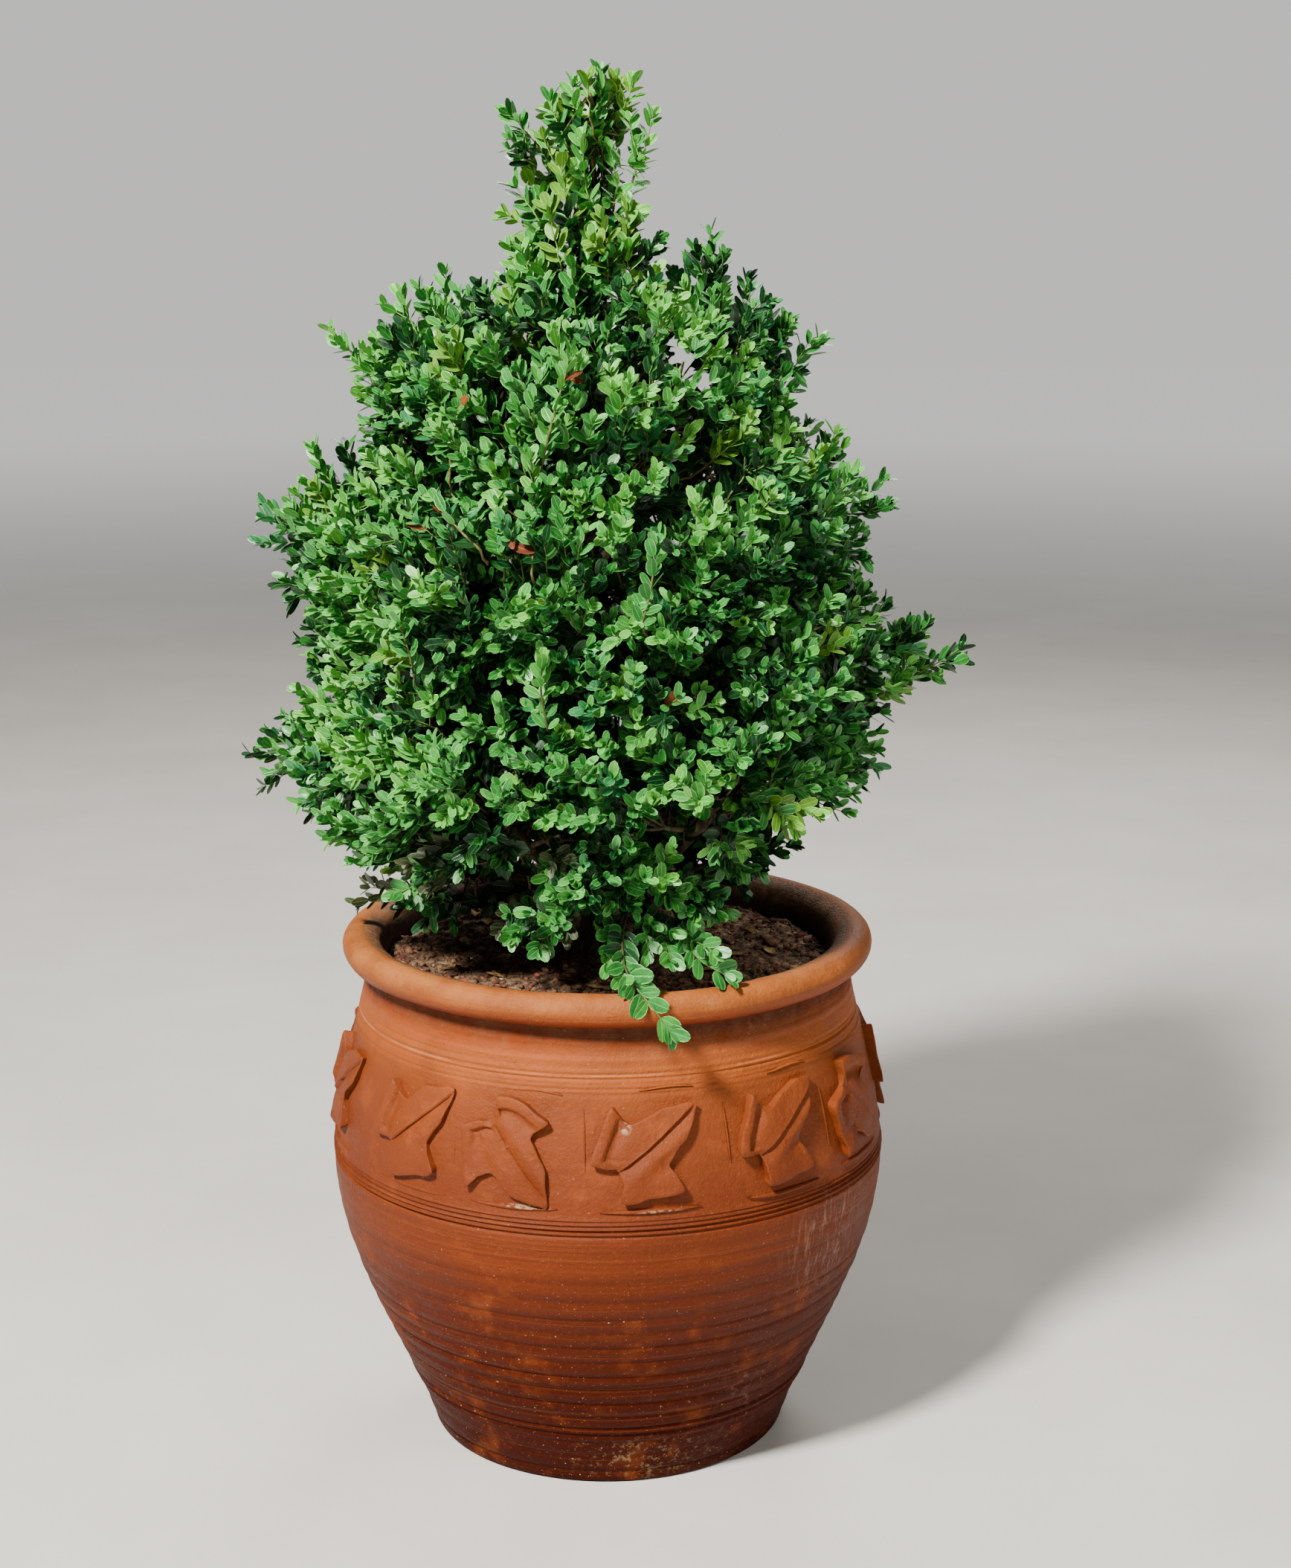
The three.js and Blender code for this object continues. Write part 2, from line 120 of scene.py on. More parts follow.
class Soup:
    """Many small meshes gathered into one."""

    def __init__(self):
        self.v, self.f3, self.f4, self.n = [], [], [], 0

    def put(self, v, f):
        f = np.asarray(f) + self.n
        (self.f3 if f.shape[1] == 3 else self.f4).append(f)
        return self

    def add(self, v, *faces):
        for f in faces:
            if len(f):
                self.put(v, f)
        self.v.append(v)
        self.n += len(v)

    def build(self, name, material, **more):
        faces = [np.concatenate(g) for g in (self.f3, self.f4) if g]
        return make_object(name, np.concatenate(self.v), faces, material, **more)


def unit(a):
    a = np.asarray(a, float)
    return a / np.maximum(np.linalg.norm(a, axis=-1, keepdims=True), 1e-12)


def fract(x):
    return x - np.floor(x)


def value_noise(p, seed=0):
    """Smooth noise from -1 to 1 at points (n, 3)."""
    p = np.asarray(p, float)
    i = np.floor(p)
    f = p - i
    f = f * f * (3 - 2 * f)
    out = 0
    for dx in (0, 1):
        for dy in (0, 1):
            for dz in (0, 1):
                q = i + (dx, dy, dz)
                h = fract(np.sin(q @ np.array([127.1, 311.7, 74.7]) + seed * 19.19) * 43758.5453)
                w = (f[:, 0] if dx else 1 - f[:, 0]) * (f[:, 1] if dy else 1 - f[:, 1]) * (f[:, 2] if dz else 1 - f[:, 2])
                out = out + h * w
    return out * 2 - 1


def tube(points, radii, sides, cap=True):
    """Vertices and faces of a tapering tube along points."""
    points = np.asarray(points, float)
    n = len(points)
    t = unit(np.gradient(points, axis=0))
    side = np.zeros_like(t)
    ref = np.array([0.0, 0.0, 1.0]) if abs(t[0, 2]) < 0.8 else np.array([1.0, 0.0, 0.0])
    s = ref - t[0] * (ref @ t[0])
    for i in range(n):
        s = s - t[i] * (s @ t[i])
        s = s / max(np.linalg.norm(s), 1e-9)
        side[i] = s
    up = np.cross(t, side)
    a = np.arange(sides) * 2 * np.pi / sides
    r = np.broadcast_to(np.asarray(radii, float), (n,)) if np.ndim(radii) < 2 else radii
    r = r[:, None] * np.ones(sides) if r.ndim == 1 else r
    v = points[:, None] + r[..., None] * (np.cos(a)[None, :, None] * side[:, None] + np.sin(a)[None, :, None] * up[:, None])
    v = v.reshape(-1, 3)
    i, k = np.meshgrid(np.arange(n - 1), np.arange(sides), indexing="ij")
    a0 = (i * sides + k).ravel()
    b0 = (i * sides + (k + 1) % sides).ravel()
    quads = np.stack([a0, b0, b0 + sides, a0 + sides], 1)
    tris = np.zeros((0, 3), int)
    if cap:
        v = np.concatenate([v, points[[0, -1]]])
        k = np.arange(sides)
        k2 = (k + 1) % sides
        first = np.stack([np.full(sides, n * sides), k2, k], 1)
        last = np.stack([np.full(sides, n * sides + 1), (n - 1) * sides + k, (n - 1) * sides + k2], 1)
        tris = np.concatenate([first, last])
    return v, quads, tris


# ------------------------------------------------------------------ material helpers
def srgb(r, g, b):
    """Linear colour from 0-255 display values."""
    c = np.array([r, g, b]) / 255
    c = np.where(c <= 0.04045, c / 12.92, ((c + 0.055) / 1.055) ** 2.4)
    return (*[float(x) for x in c], 1.0)


class Nodes:
    """Short names for building a node tree."""

    def __init__(self, name):
        self.m = bpy.data.materials.new(name)
        self.m.use_nodes = True
        self.t = self.m.node_tree
        self.t.nodes.clear()
        self.out = self.t.nodes.new("ShaderNodeOutputMaterial")
        self.p = self.t.nodes.new("ShaderNodeBsdfPrincipled")
        self.t.links.new(self.p.outputs["BSDF"], self.out.inputs["Surface"])
        self.place = self.t.nodes.new("ShaderNodeTexCoord")

    def link(self, value, socket):
        if hasattr(value, "is_output"):
            self.t.links.new(value, socket)
        elif isinstance(value, tuple) and hasattr(socket, "default_value") and len(value) != len(socket.default_value):
            socket.default_value = value[: len(socket.default_value)]
        else:
            socket.default_value = value

    def mapped(self, scale=(1, 1, 1), move=(0, 0, 0), source="Object"):
        n = self.t.nodes.new("ShaderNodeMapping")
        self.t.links.new(self.place.outputs[source], n.inputs["Vector"])
        n.inputs["Scale"].default_value = scale
        n.inputs["Location"].default_value = move
        return n.outputs["Vector"]

    def noise(self, scale, detail=3.0, rough=0.55, vector=None, distortion=0.0):
        n = self.t.nodes.new("ShaderNodeTexNoise")
        self.t.links.new(vector or self.place.outputs["Object"], n.inputs["Vector"])
        n.inputs["Scale"].default_value = scale
        n.inputs["Detail"].default_value = detail
        n.inputs["Roughness"].default_value = rough
        n.inputs["Distortion"].default_value = distortion
        return n.outputs["Fac"]

    def voronoi(self, scale, vector=None, feature="F1", out="Distance", randomness=1.0):
        n = self.t.nodes.new("ShaderNodeTexVoronoi")
        n.feature = feature
        self.t.links.new(vector or self.place.outputs["Object"], n.inputs["Vector"])
        n.inputs["Scale"].default_value = scale
        n.inputs["Randomness"].default_value = randomness
        return n.outputs[out]

    def ramp(self, fac, *stops, mode="LINEAR"):
        n = self.t.nodes.new("ShaderNodeValToRGB")
        n.color_ramp.interpolation = mode
        els = n.color_ramp.elements
        while len(els) < len(stops):
            els.new(0.5)
        for e, (at, c) in zip(els, stops):
            e.position = at
            e.color = c if isinstance(c, tuple) else (c, c, c, 1)
        self.link(fac, n.inputs["Fac"])
        return n.outputs["Color"]

    def mix(self, fac, a, b, mode="MIX"):
        n = self.t.nodes.new("ShaderNodeMix")
        n.data_type = "RGBA"
        n.blend_type = mode
        self.link(fac, n.inputs[0])
        self.link(a, n.inputs[6])
        self.link(b, n.inputs[7])
        return n.outputs[2]

    def math(self, op, a, b=0.0, c=0.0, clamp=False):
        n = self.t.nodes.new("ShaderNodeMath")
        n.operation = op
        n.use_clamp = clamp
        for i, x in enumerate((a, b, c)):
            self.link(x, n.inputs[i])
        return n.outputs[0]

    def span(self, value, low, high, to_low=0.0, to_high=1.0, smooth=True):
        n = self.t.nodes.new("ShaderNodeMapRange")
        n.interpolation_type = "SMOOTHSTEP" if smooth else "LINEAR"
        n.clamp = True
        self.link(value, n.inputs["Value"])
        n.inputs["From Min"].default_value = low
        n.inputs["From Max"].default_value = high
        n.inputs["To Min"].default_value = to_low
        n.inputs["To Max"].default_value = to_high
        return n.outputs["Result"]

    def split(self, source="Object"):
        n = self.t.nodes.new("ShaderNodeSeparateXYZ")
        self.t.links.new(self.place.outputs[source], n.inputs[0])
        return n.outputs

    def bump(self, *layers):
        """layers is (height, distance in metres, strength), the finest last."""
        normal = None
        for height, distance, strength in layers:
            n = self.t.nodes.new("ShaderNodeBump")
            n.inputs["Strength"].default_value = strength
            n.inputs["Distance"].default_value = distance
            self.t.links.new(height, n.inputs["Height"])
            if normal is not None:
                self.t.links.new(normal, n.inputs["Normal"])
            normal = n.outputs["Normal"]
        self.t.links.new(normal, self.p.inputs["Normal"])

    def set(self, **values):
        for key, v in values.items():
            self.link(v, self.p.inputs[key.replace("_", " ")])
        return self.m


# ------------------------------------------------------------------ materials
def terracotta():
    n = Nodes("terracotta")
    x, y, z = n.split()
    r = n.math("SQRT", n.math("ADD", n.math("MULTIPLY", x, x), n.math("MULTIPLY", y, y)))
    wide = n.noise(4.5, 4, 0.6)
    mid = n.noise(24.0, 5, 0.62)
    gritty = n.noise(260.0, 4, 0.7)
    # marks of throwing, long round the pot; none on the band of leaves
    band = n.math("MULTIPLY", n.span(z, 0.262, 0.270, 0.0, 1.0), n.span(z, 0.352, 0.362, 1.0, 0.0))
    off_band = n.math("SUBTRACT", 1.0, band)
    rings = n.noise(1.0, 5, 0.65, n.mapped((1.6, 1.6, 150.0)))
    lines = n.noise(1.0, 3, 0.6, n.mapped((2.6, 2.6, 520.0)))
    # the clay is palest at the neck and darkest and reddest at the foot, partly the clay's own damp tone and partly
    # painted shade, as the light falls from above; the dark band just under the rim is a painted shadow of the rim
    clay_with_painted_light = n.ramp(
        n.math("MULTIPLY", z, 2.0),
        (0.0, srgb(46, 8, 1)), (0.09, srgb(57, 11, 1)), (0.2, srgb(64, 15, 1)), (0.34, srgb(82, 26, 2)), (0.47, srgb(108, 43, 6)),
        (0.56, srgb(110, 46, 12)), (0.70, srgb(126, 59, 21)), (0.765, srgb(166, 84, 30)), (0.795, srgb(166, 72, 14)), (0.812, srgb(126, 42, 5)), (0.836, srgb(116, 36, 4)), (0.862, srgb(156, 82, 30)))
    clay_with_painted_light = n.mix(n.span(wide, 0.38, 0.62, 0.0, 0.4), clay_with_painted_light, n.mix(0.5, clay_with_painted_light, srgb(66, 18, 5)))
    clay_with_painted_light = n.mix(n.math("MULTIPLY", n.span(rings, 0.42, 0.68, 0.0, 0.36), off_band), clay_with_painted_light, n.mix(0.6, clay_with_painted_light, srgb(44, 12, 4)))
    clay_with_painted_light = n.mix(n.math("MULTIPLY", n.span(lines, 0.54, 0.72, 0.0, 0.15), off_band), clay_with_painted_light, n.mix(0.6, clay_with_painted_light, srgb(190, 112, 56)))
    clay_with_painted_light = n.mix(n.span(mid, 0.52, 0.72, 0.0, 0.4), clay_with_painted_light, n.mix(0.5, clay_with_painted_light, srgb(178, 92, 44)))
    clay_with_painted_light = n.mix(n.span(mid, 0.46, 0.30, 0.0, 0.35), clay_with_painted_light, n.mix(0.5, clay_with_painted_light, srgb(60, 18, 6)))
    clay_with_painted_light = n.mix(n.span(gritty, 0.55, 0.75, 0.0, 0.2), clay_with_painted_light, n.mix(0.5, clay_with_painted_light, srgb(190, 104, 50)))
    # a painted highlight: a thin pale line along the raised ring at the neck
    painted_ring_highlight = n.math("ABSOLUTE", n.math("SUBTRACT", z, 0.3764))
    painted_ring_highlight = n.math("MULTIPLY", n.span(painted_ring_highlight, 0.0010, 0.0003), n.span(n.noise(9.0, 4, 0.6), 0.40, 0.56))
    clay_with_painted_light = n.mix(n.math("MULTIPLY", painted_ring_highlight, 0.3), clay_with_painted_light, srgb(206, 138, 92))
    # the rim is paler and tan on top, in patches
    rim = n.span(z, 0.424, 0.440, 0.0, 1.0)
    clay_with_painted_light = n.mix(n.math("MULTIPLY", rim, n.span(mid, 0.40, 0.62, 0.10, 0.5)), clay_with_painted_light, srgb(178, 114, 60))
    # soil and weathering on the inner lip and inner wall, and painted shade deeper in
    inner = n.span(r, 0.2120, 0.2000, 0.0, 1.0)
    inner = n.math("MULTIPLY", inner, n.span(z, 0.36, 0.40, 0.0, 1.0))
    dirt = n.ramp(n.noise(70.0, 6, 0.72), (0.3, srgb(70, 50, 38)), (0.52, srgb(112, 84, 62)), (0.72, srgb(146, 112, 82)))
    clay_with_painted_light = n.mix(n.math("MULTIPLY", inner, n.span(n.noise(38.0, 5, 0.65), 0.30, 0.56, 0.45, 0.96)), clay_with_painted_light, dirt)
    # painted shade: the inner wall turns near black deeper into the mouth, above the soil
    deep = n.math("MULTIPLY", inner, n.span(z, 0.437, 0.422, 0.0, 1.0))
    clay_with_painted_light = n.mix(n.math("MULTIPLY", deep, 0.8), clay_with_painted_light, srgb(44, 31, 25))
    # lime bloom: brushed streaks low on the right, a crust at the middle of the foot, faint patches elsewhere
    def near(px, py, pz, low, high, squash=1.0):
        dx = n.math("SUBTRACT", x, px)
        dy = n.math("SUBTRACT", y, py)
        dz = n.math("MULTIPLY", n.math("SUBTRACT", z, pz), squash)
        d = n.math("ADD", n.math("ADD", n.math("MULTIPLY", dx, dx), n.math("MULTIPLY", dy, dy)), n.math("MULTIPLY", dz, dz))
        return n.span(n.math("SQRT", d), high, low)
    streak = n.span(n.noise(1.0, 6, 0.75, n.mapped((230.0, 230.0, 34.0))), 0.50, 0.66)
    lime = n.math("MULTIPLY", near(0.182, -0.142, 0.214, 0.015, 0.075), streak)
    clay_with_painted_light = n.mix(n.math("MULTIPLY", lime, 0.5), clay_with_painted_light, srgb(168, 132, 112))
    crust = n.math("MULTIPLY", near(0.032, -0.158, 0.026, 0.012, 0.085, 2.6), n.span(n.noise(190.0, 5, 0.7), 0.54, 0.62))
    clay_with_painted_light = n.mix(n.math("MULTIPLY", crust, 0.8), clay_with_painted_light, srgb(120, 98, 70))
    faint = n.math("MULTIPLY", n.span(n.noise(6.0, 3, 0.5, n.mapped((1, 1, 1), (3.1, 7.7, 1.3))), 0.58, 0.74), n.span(n.noise(120.0, 6, 0.75), 0.54, 0.68))
    clay_with_painted_light = n.mix(n.math("MULTIPLY", faint, 0.3), clay_with_painted_light, srgb(176, 140, 116))
    # lime on the ridges below two of the leaves, and in a notch
    flecks = n.span(n.noise(240.0, 5, 0.7), 0.44, 0.56)
    for px, py, pz in ((0.0414, -0.2301, 0.2712), (-0.0640, -0.2243, 0.2735)):
        white = n.math("MULTIPLY", near(px, py, pz, 0.010, 0.024, 11.0), flecks)
        clay_with_painted_light = n.mix(n.math("MULTIPLY", white, 0.5), clay_with_painted_light, srgb(196, 166, 128))
    white = n.math("MULTIPLY", near(0.013, -0.2265, 0.3385, 0.001, 0.007), flecks)
    clay_with_painted_light = n.mix(n.math("MULTIPLY", white, 0.55), clay_with_painted_light, srgb(206, 180, 150))
    # grit: pale and dark grains, each a cell picked at random
    def grains(scale, share, size, move):
        v = n.mapped((1, 1, 1), move)
        cell = n.t.nodes.new("ShaderNodeTexVoronoi")
        n.t.links.new(v, cell.inputs["Vector"])
        cell.inputs["Scale"].default_value = scale
        rgb = n.t.nodes.new("ShaderNodeSeparateColor")
        n.t.links.new(cell.outputs["Color"], rgb.inputs[0])
        return n.math("MULTIPLY", n.span(rgb.outputs[0], 1 - share, 1 - share + 0.02), n.span(cell.outputs["Distance"], size, size * 0.6))
    more = n.span(z, 0.30, 0.12, 0.35, 1.0)
    clay_with_painted_light = n.mix(n.math("MULTIPLY", n.math("MULTIPLY", grains(330.0, 0.035, 0.26, (0, 0, 0)), more), 0.6), clay_with_painted_light, srgb(204, 160, 122))
    clay_with_painted_light = n.mix(n.math("MULTIPLY", n.math("MULTIPLY", grains(640.0, 0.10, 0.30, (2, 5, 1)), more), 0.5), clay_with_painted_light, srgb(196, 140, 98))
    clay_with_painted_light = n.mix(n.math("MULTIPLY", grains(260.0, 0.03, 0.24, (5, 2, 9)), 0.6), clay_with_painted_light, srgb(64, 22, 8))
    hollow = n.math("MULTIPLY", n.span(z, 0.392, 0.400), n.span(z, 0.421, 0.414))
    n.bump(
        (n.math("MULTIPLY", rings, off_band), 0.0014, 0.75),
        (n.math("MULTIPLY", lines, off_band), 0.0003, 0.5),
        (mid, 0.0018, 0.4),
        (gritty, 0.0014, 0.9),
    )
    return n.set(
        Base_Color=clay_with_painted_light, Roughness=n.span(mid, 0.3, 0.7, 0.48, 0.64),
        Specular_IOR_Level=n.math("MULTIPLY", n.span(z, 0.06, 0.30, 0.06, 0.2), n.math("SUBTRACT", 1.0, n.math("MULTIPLY", hollow, 0.85))))


def soil_material(name="soil", light=0.0):
    n = Nodes(name)
    a = n.noise(150.0, 6, 0.78)
    c = n.ramp(a, (0.34, srgb(34, 24, 18)), (0.46, srgb(82, 62, 46)), (0.56, srgb(132, 104, 78)), (0.66, srgb(184, 152, 118)), (0.76, srgb(214, 188, 154)))
    c = n.mix(n.span(n.noise(9.0, 3), 0.45, 0.65, 0, 0.35), c, srgb(66, 42, 32))
    grain = n.math("MULTIPLY", n.span(n.voronoi(330.0), 0.2, 0.1), n.span(n.noise(150.0, 2), 0.54, 0.6))
    c = n.mix(n.math("MULTIPLY", grain, 0.7), c, srgb(160, 124, 100))
    if light:
        c = n.mix(light, c, srgb(150, 104, 74))
    n.bump((n.noise(120.0, 6, 0.75), 0.003, 0.9), (n.noise(420.0, 4, 0.7), 0.0012, 0.8))
    return n.set(Base_Color=c, Roughness=0.95, Specular_IOR_Level=0.2)


def chip_material(name, dark, mid, pale):
    n = Nodes(name)
    a = n.noise(160.0, 4, 0.6)
    c = n.ramp(a, (0.3, dark), (0.5, mid), (0.72, pale))
    n.bump((n.noise(500.0, 4, 0.7), 0.0008, 0.8),)
    return n.set(Base_Color=c, Roughness=0.9, Specular_IOR_Level=0.25)


def bark_material(name, dark, mid, pale, stretch=0.25):
    n = Nodes(name)
    long = n.mapped((1.0, 1.0, stretch))
    a = n.noise(150.0, 6, 0.7, long)
    c = n.ramp(a, (0.3, dark), (0.5, mid), (0.7, pale))
    c = n.mix(n.span(n.noise(24.0, 3), 0.5, 0.7, 0, 0.5), c, srgb(110, 112, 74))
    crack = n.voronoi(120.0, long, "DISTANCE_TO_EDGE")
    c = n.mix(n.span(crack, 0.10, 0.02, 0.0, 0.55), c, dark)
    n.bump((a, 0.0016, 0.8), (n.span(crack, 0.0, 0.12), 0.0012, 0.6))
    return n.set(Base_Color=c, Roughness=0.86, Specular_IOR_Level=0.3)


def twig_material(name, dark, mid, pale, old):
    n = Nodes(name)
    a = n.noise(220.0, 4, 0.6)
    c = n.ramp(a, (0.3, dark), (0.52, mid), (0.75, pale))
    _, _, z = n.split()
    c = n.mix(n.span(z, 0.95, 0.55, 0.0, 0.75), c, old)
    n.bump((n.noise(700.0, 3, 0.6), 0.0004, 0.6),)
    return n.set(Base_Color=c, Roughness=0.6, Specular_IOR_Level=0.4)


def leaf_material(name, dark, mid, pale, rib, edge, gloss=0.34, shine=0.44):
    """A leaf's own pattern lies along it: pale midrib, pale margin that is partly the leaf's own and partly a painted
    highlight along its rim, faint side veins. UV x is -1..1 across, y 0..1 along.
    """
    n = Nodes(name)
    u, v, _ = n.split("UV")
    across = n.math("ABSOLUTE", u)
    a = n.noise(48.0, 3, 0.55)
    c = n.ramp(a, (0.32, dark), (0.5, mid), (0.68, pale))
    fine = n.noise(420.0, 3, 0.6)
    c = n.mix(n.span(fine, 0.5, 0.72, 0.0, 0.35), c, pale)
    vein = n.math("SINE", n.math("MULTIPLY", n.math("SUBTRACT", v, n.math("MULTIPLY", across, 0.22)), 62.0))
    veins = n.span(vein, 0.55, 1.0, 0.0, 0.09)
    c = n.mix(veins, c, pale)
    # pale margin: partly the leaf's own, partly a painted highlight along its rim
    c = n.mix(n.span(across, 0.80, 0.94, 0.0, 0.9), c, edge)
    c = n.mix(n.span(across, 0.10, 0.02, 0.0, 0.8), c, rib)
    n.bump((n.span(across, 0.02, 0.2), 0.0004, 0.5), (vein, 0.00008, 0.25), (fine, 0.00012, 0.4))
    return n.set(
        Base_Color=c, Roughness=n.span(fine, 0.3, 0.7, gloss - 0.06, gloss + 0.08),
        Specular_IOR_Level=shine,
    )


TERRACOTTA = terracotta()
SOIL = soil_material()
CRUMB = soil_material("soil_crumb", 0.12)
RED_CRUMB = chip_material("red_crumb", srgb(66, 28, 21), srgb(102, 47, 35), srgb(142, 80, 62))
CHIP = chip_material("bark_chip", srgb(62, 40, 28), srgb(104, 72, 50), srgb(142, 104, 76))
PALE_CHIP = chip_material("pale_grit", srgb(128, 112, 96), srgb(172, 156, 138), srgb(205, 192, 172))
DRY = chip_material("dry_leaf", srgb(112, 84, 46), srgb(158, 126, 76), srgb(196, 168, 116))
BARK = bark_material("bark", srgb(44, 37, 26), srgb(82, 71, 50), srgb(122, 110, 82))
TWIG = twig_material("twig_tan", srgb(68, 66, 30), srgb(102, 98, 48), srgb(140, 132, 74), srgb(52, 46, 28))
SHOOT = twig_material("shoot_green", srgb(72, 104, 36), srgb(112, 148, 58), srgb(154, 182, 90), srgb(70, 104, 40))
LEAVES = {
    "fresh": leaf_material("leaf_fresh", srgb(64, 143, 38), srgb(80, 163, 50), srgb(102, 181, 66), srgb(144, 206, 100), srgb(172, 224, 134), 0.36),
    "bright": leaf_material("leaf_bright", srgb(44, 125, 38), srgb(59, 147, 51), srgb(84, 169, 70), srgb(126, 196, 94), srgb(152, 212, 120), 0.36),
    "mid": leaf_material("leaf_mid", srgb(25, 94, 32), srgb(39, 118, 44), srgb(60, 142, 58), srgb(96, 167, 80), srgb(122, 188, 106), 0.35),
    "cool": leaf_material("leaf_cool", srgb(20, 86, 42), srgb(33, 110, 57), srgb(56, 133, 76), srgb(86, 156, 90), srgb(106, 173, 108), 0.33),
    "deep": leaf_material("leaf_deep", srgb(5, 34, 13), srgb(9, 46, 19), srgb(17, 63, 27), srgb(44, 94, 42), srgb(56, 108, 54), 0.32, 0.32),
    "dead": leaf_material("leaf_dead", srgb(58, 22, 8), srgb(94, 38, 13), srgb(132, 66, 26), srgb(150, 88, 42), srgb(116, 56, 22), 0.5),
    "old": leaf_material("leaf_old", srgb(38, 52, 30), srgb(58, 74, 42), srgb(84, 96, 58), srgb(112, 120, 80), srgb(118, 124, 86), 0.42, 0.5),
    "olive": leaf_material("leaf_olive", srgb(66, 118, 24), srgb(86, 140, 34), srgb(108, 158, 46), srgb(146, 186, 82), srgb(156, 196, 92), 0.36),
}


def finish_piece(obj, slot, *nodes):
    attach(obj, "root")
    if nodes:
        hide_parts(*nodes)
    return obj


# ------------------------------------------------------------------ pot
POT_TABLE = np.array([
    (0, 152.5), (10, 155), (20, 158), (40, 166), (60, 175), (80, 184), (100, 193), (120, 202), (140, 210), (160, 218),
    (180, 225), (200, 230.5), (220, 234.5), (240, 236), (260, 235.5), (280, 233), (300, 230), (320, 226), (340, 221),
    (360, 216), (380, 211), (400, 207), (410, 206), (425, 206),
], float)
_z = np.arange(-30, 456, 1.0)
_r = np.interp(_z, POT_TABLE[:, 0], POT_TABLE[:, 1])
_k = np.exp(-0.5 * (np.arange(-18, 19) / 6.0) ** 2)
_r = np.convolve(np.pad(_r, 18, mode="edge"), _k / _k.sum(), "valid")


def wall_radius(z_mm):
    return np.interp(z_mm, _z, _r)


# Throwing ridges: sharp hollows at these heights with a round swell between each two, mm.
HOLLOWS = np.array([2.0, 11.5, 30.0, 45.0, 52.5, 60.0, 72.8, 88.0, 103.8, 117.8, 132.2, 147.8, 162.0, 176.0, 193.0, 211.0, 228.0])
SWELL = np.array([0.8, 1.4, 1.2, 2.0, 2.1, 1.7, 2.1, 2.1, 2.0, 2.0, 1.8, 1.7, 1.1, 1.3, 0.8, 0.5])
# Finer rings: height, depth, half width, all mm.
RINGS = [
    (12.5, 0.7, 1.2), (52.5, 0.9, 1.4), (60, 0.5, 1.2), (88, 0.4, 1.2), (117.8, 0.3, 1.2), (147.8, 0.4, 1.4), (176, 0.5, 1.6),
    (251.6, 1.9, 1.15), (255.8, 1.7, 0.95), (259.6, 1.6, 0.9), (263.0, 1.0, 0.8),
    (361.0, 0.3, 1.2), (366.0, 0.6, 0.9), (373.6, 1.0, 0.9), (377.4, 0.45, 1.0), (384.0, 0.3, 2.0), (391.0, 0.35, 2.2), (398.0, 0.3, 2.0),
]


def swell(z_mm):
    """How far the wall bulges between two hollows."""
    i = np.clip(np.searchsorted(HOLLOWS, z_mm) - 1, 0, len(SWELL) - 1)
    s = np.clip((z_mm - HOLLOWS[i]) / (HOLLOWS[i + 1] - HOLLOWS[i]), 0, 1)
    # fuller in its lower half, as the wall leans out
    return SWELL[i] * np.sin(np.pi * s**0.85) ** 0.75 * ((z_mm > HOLLOWS[0]) & (z_mm < HOLLOWS[-1]))


RIM_R, RIM_Z, ROLL = 211.7, 430.0, 13.3


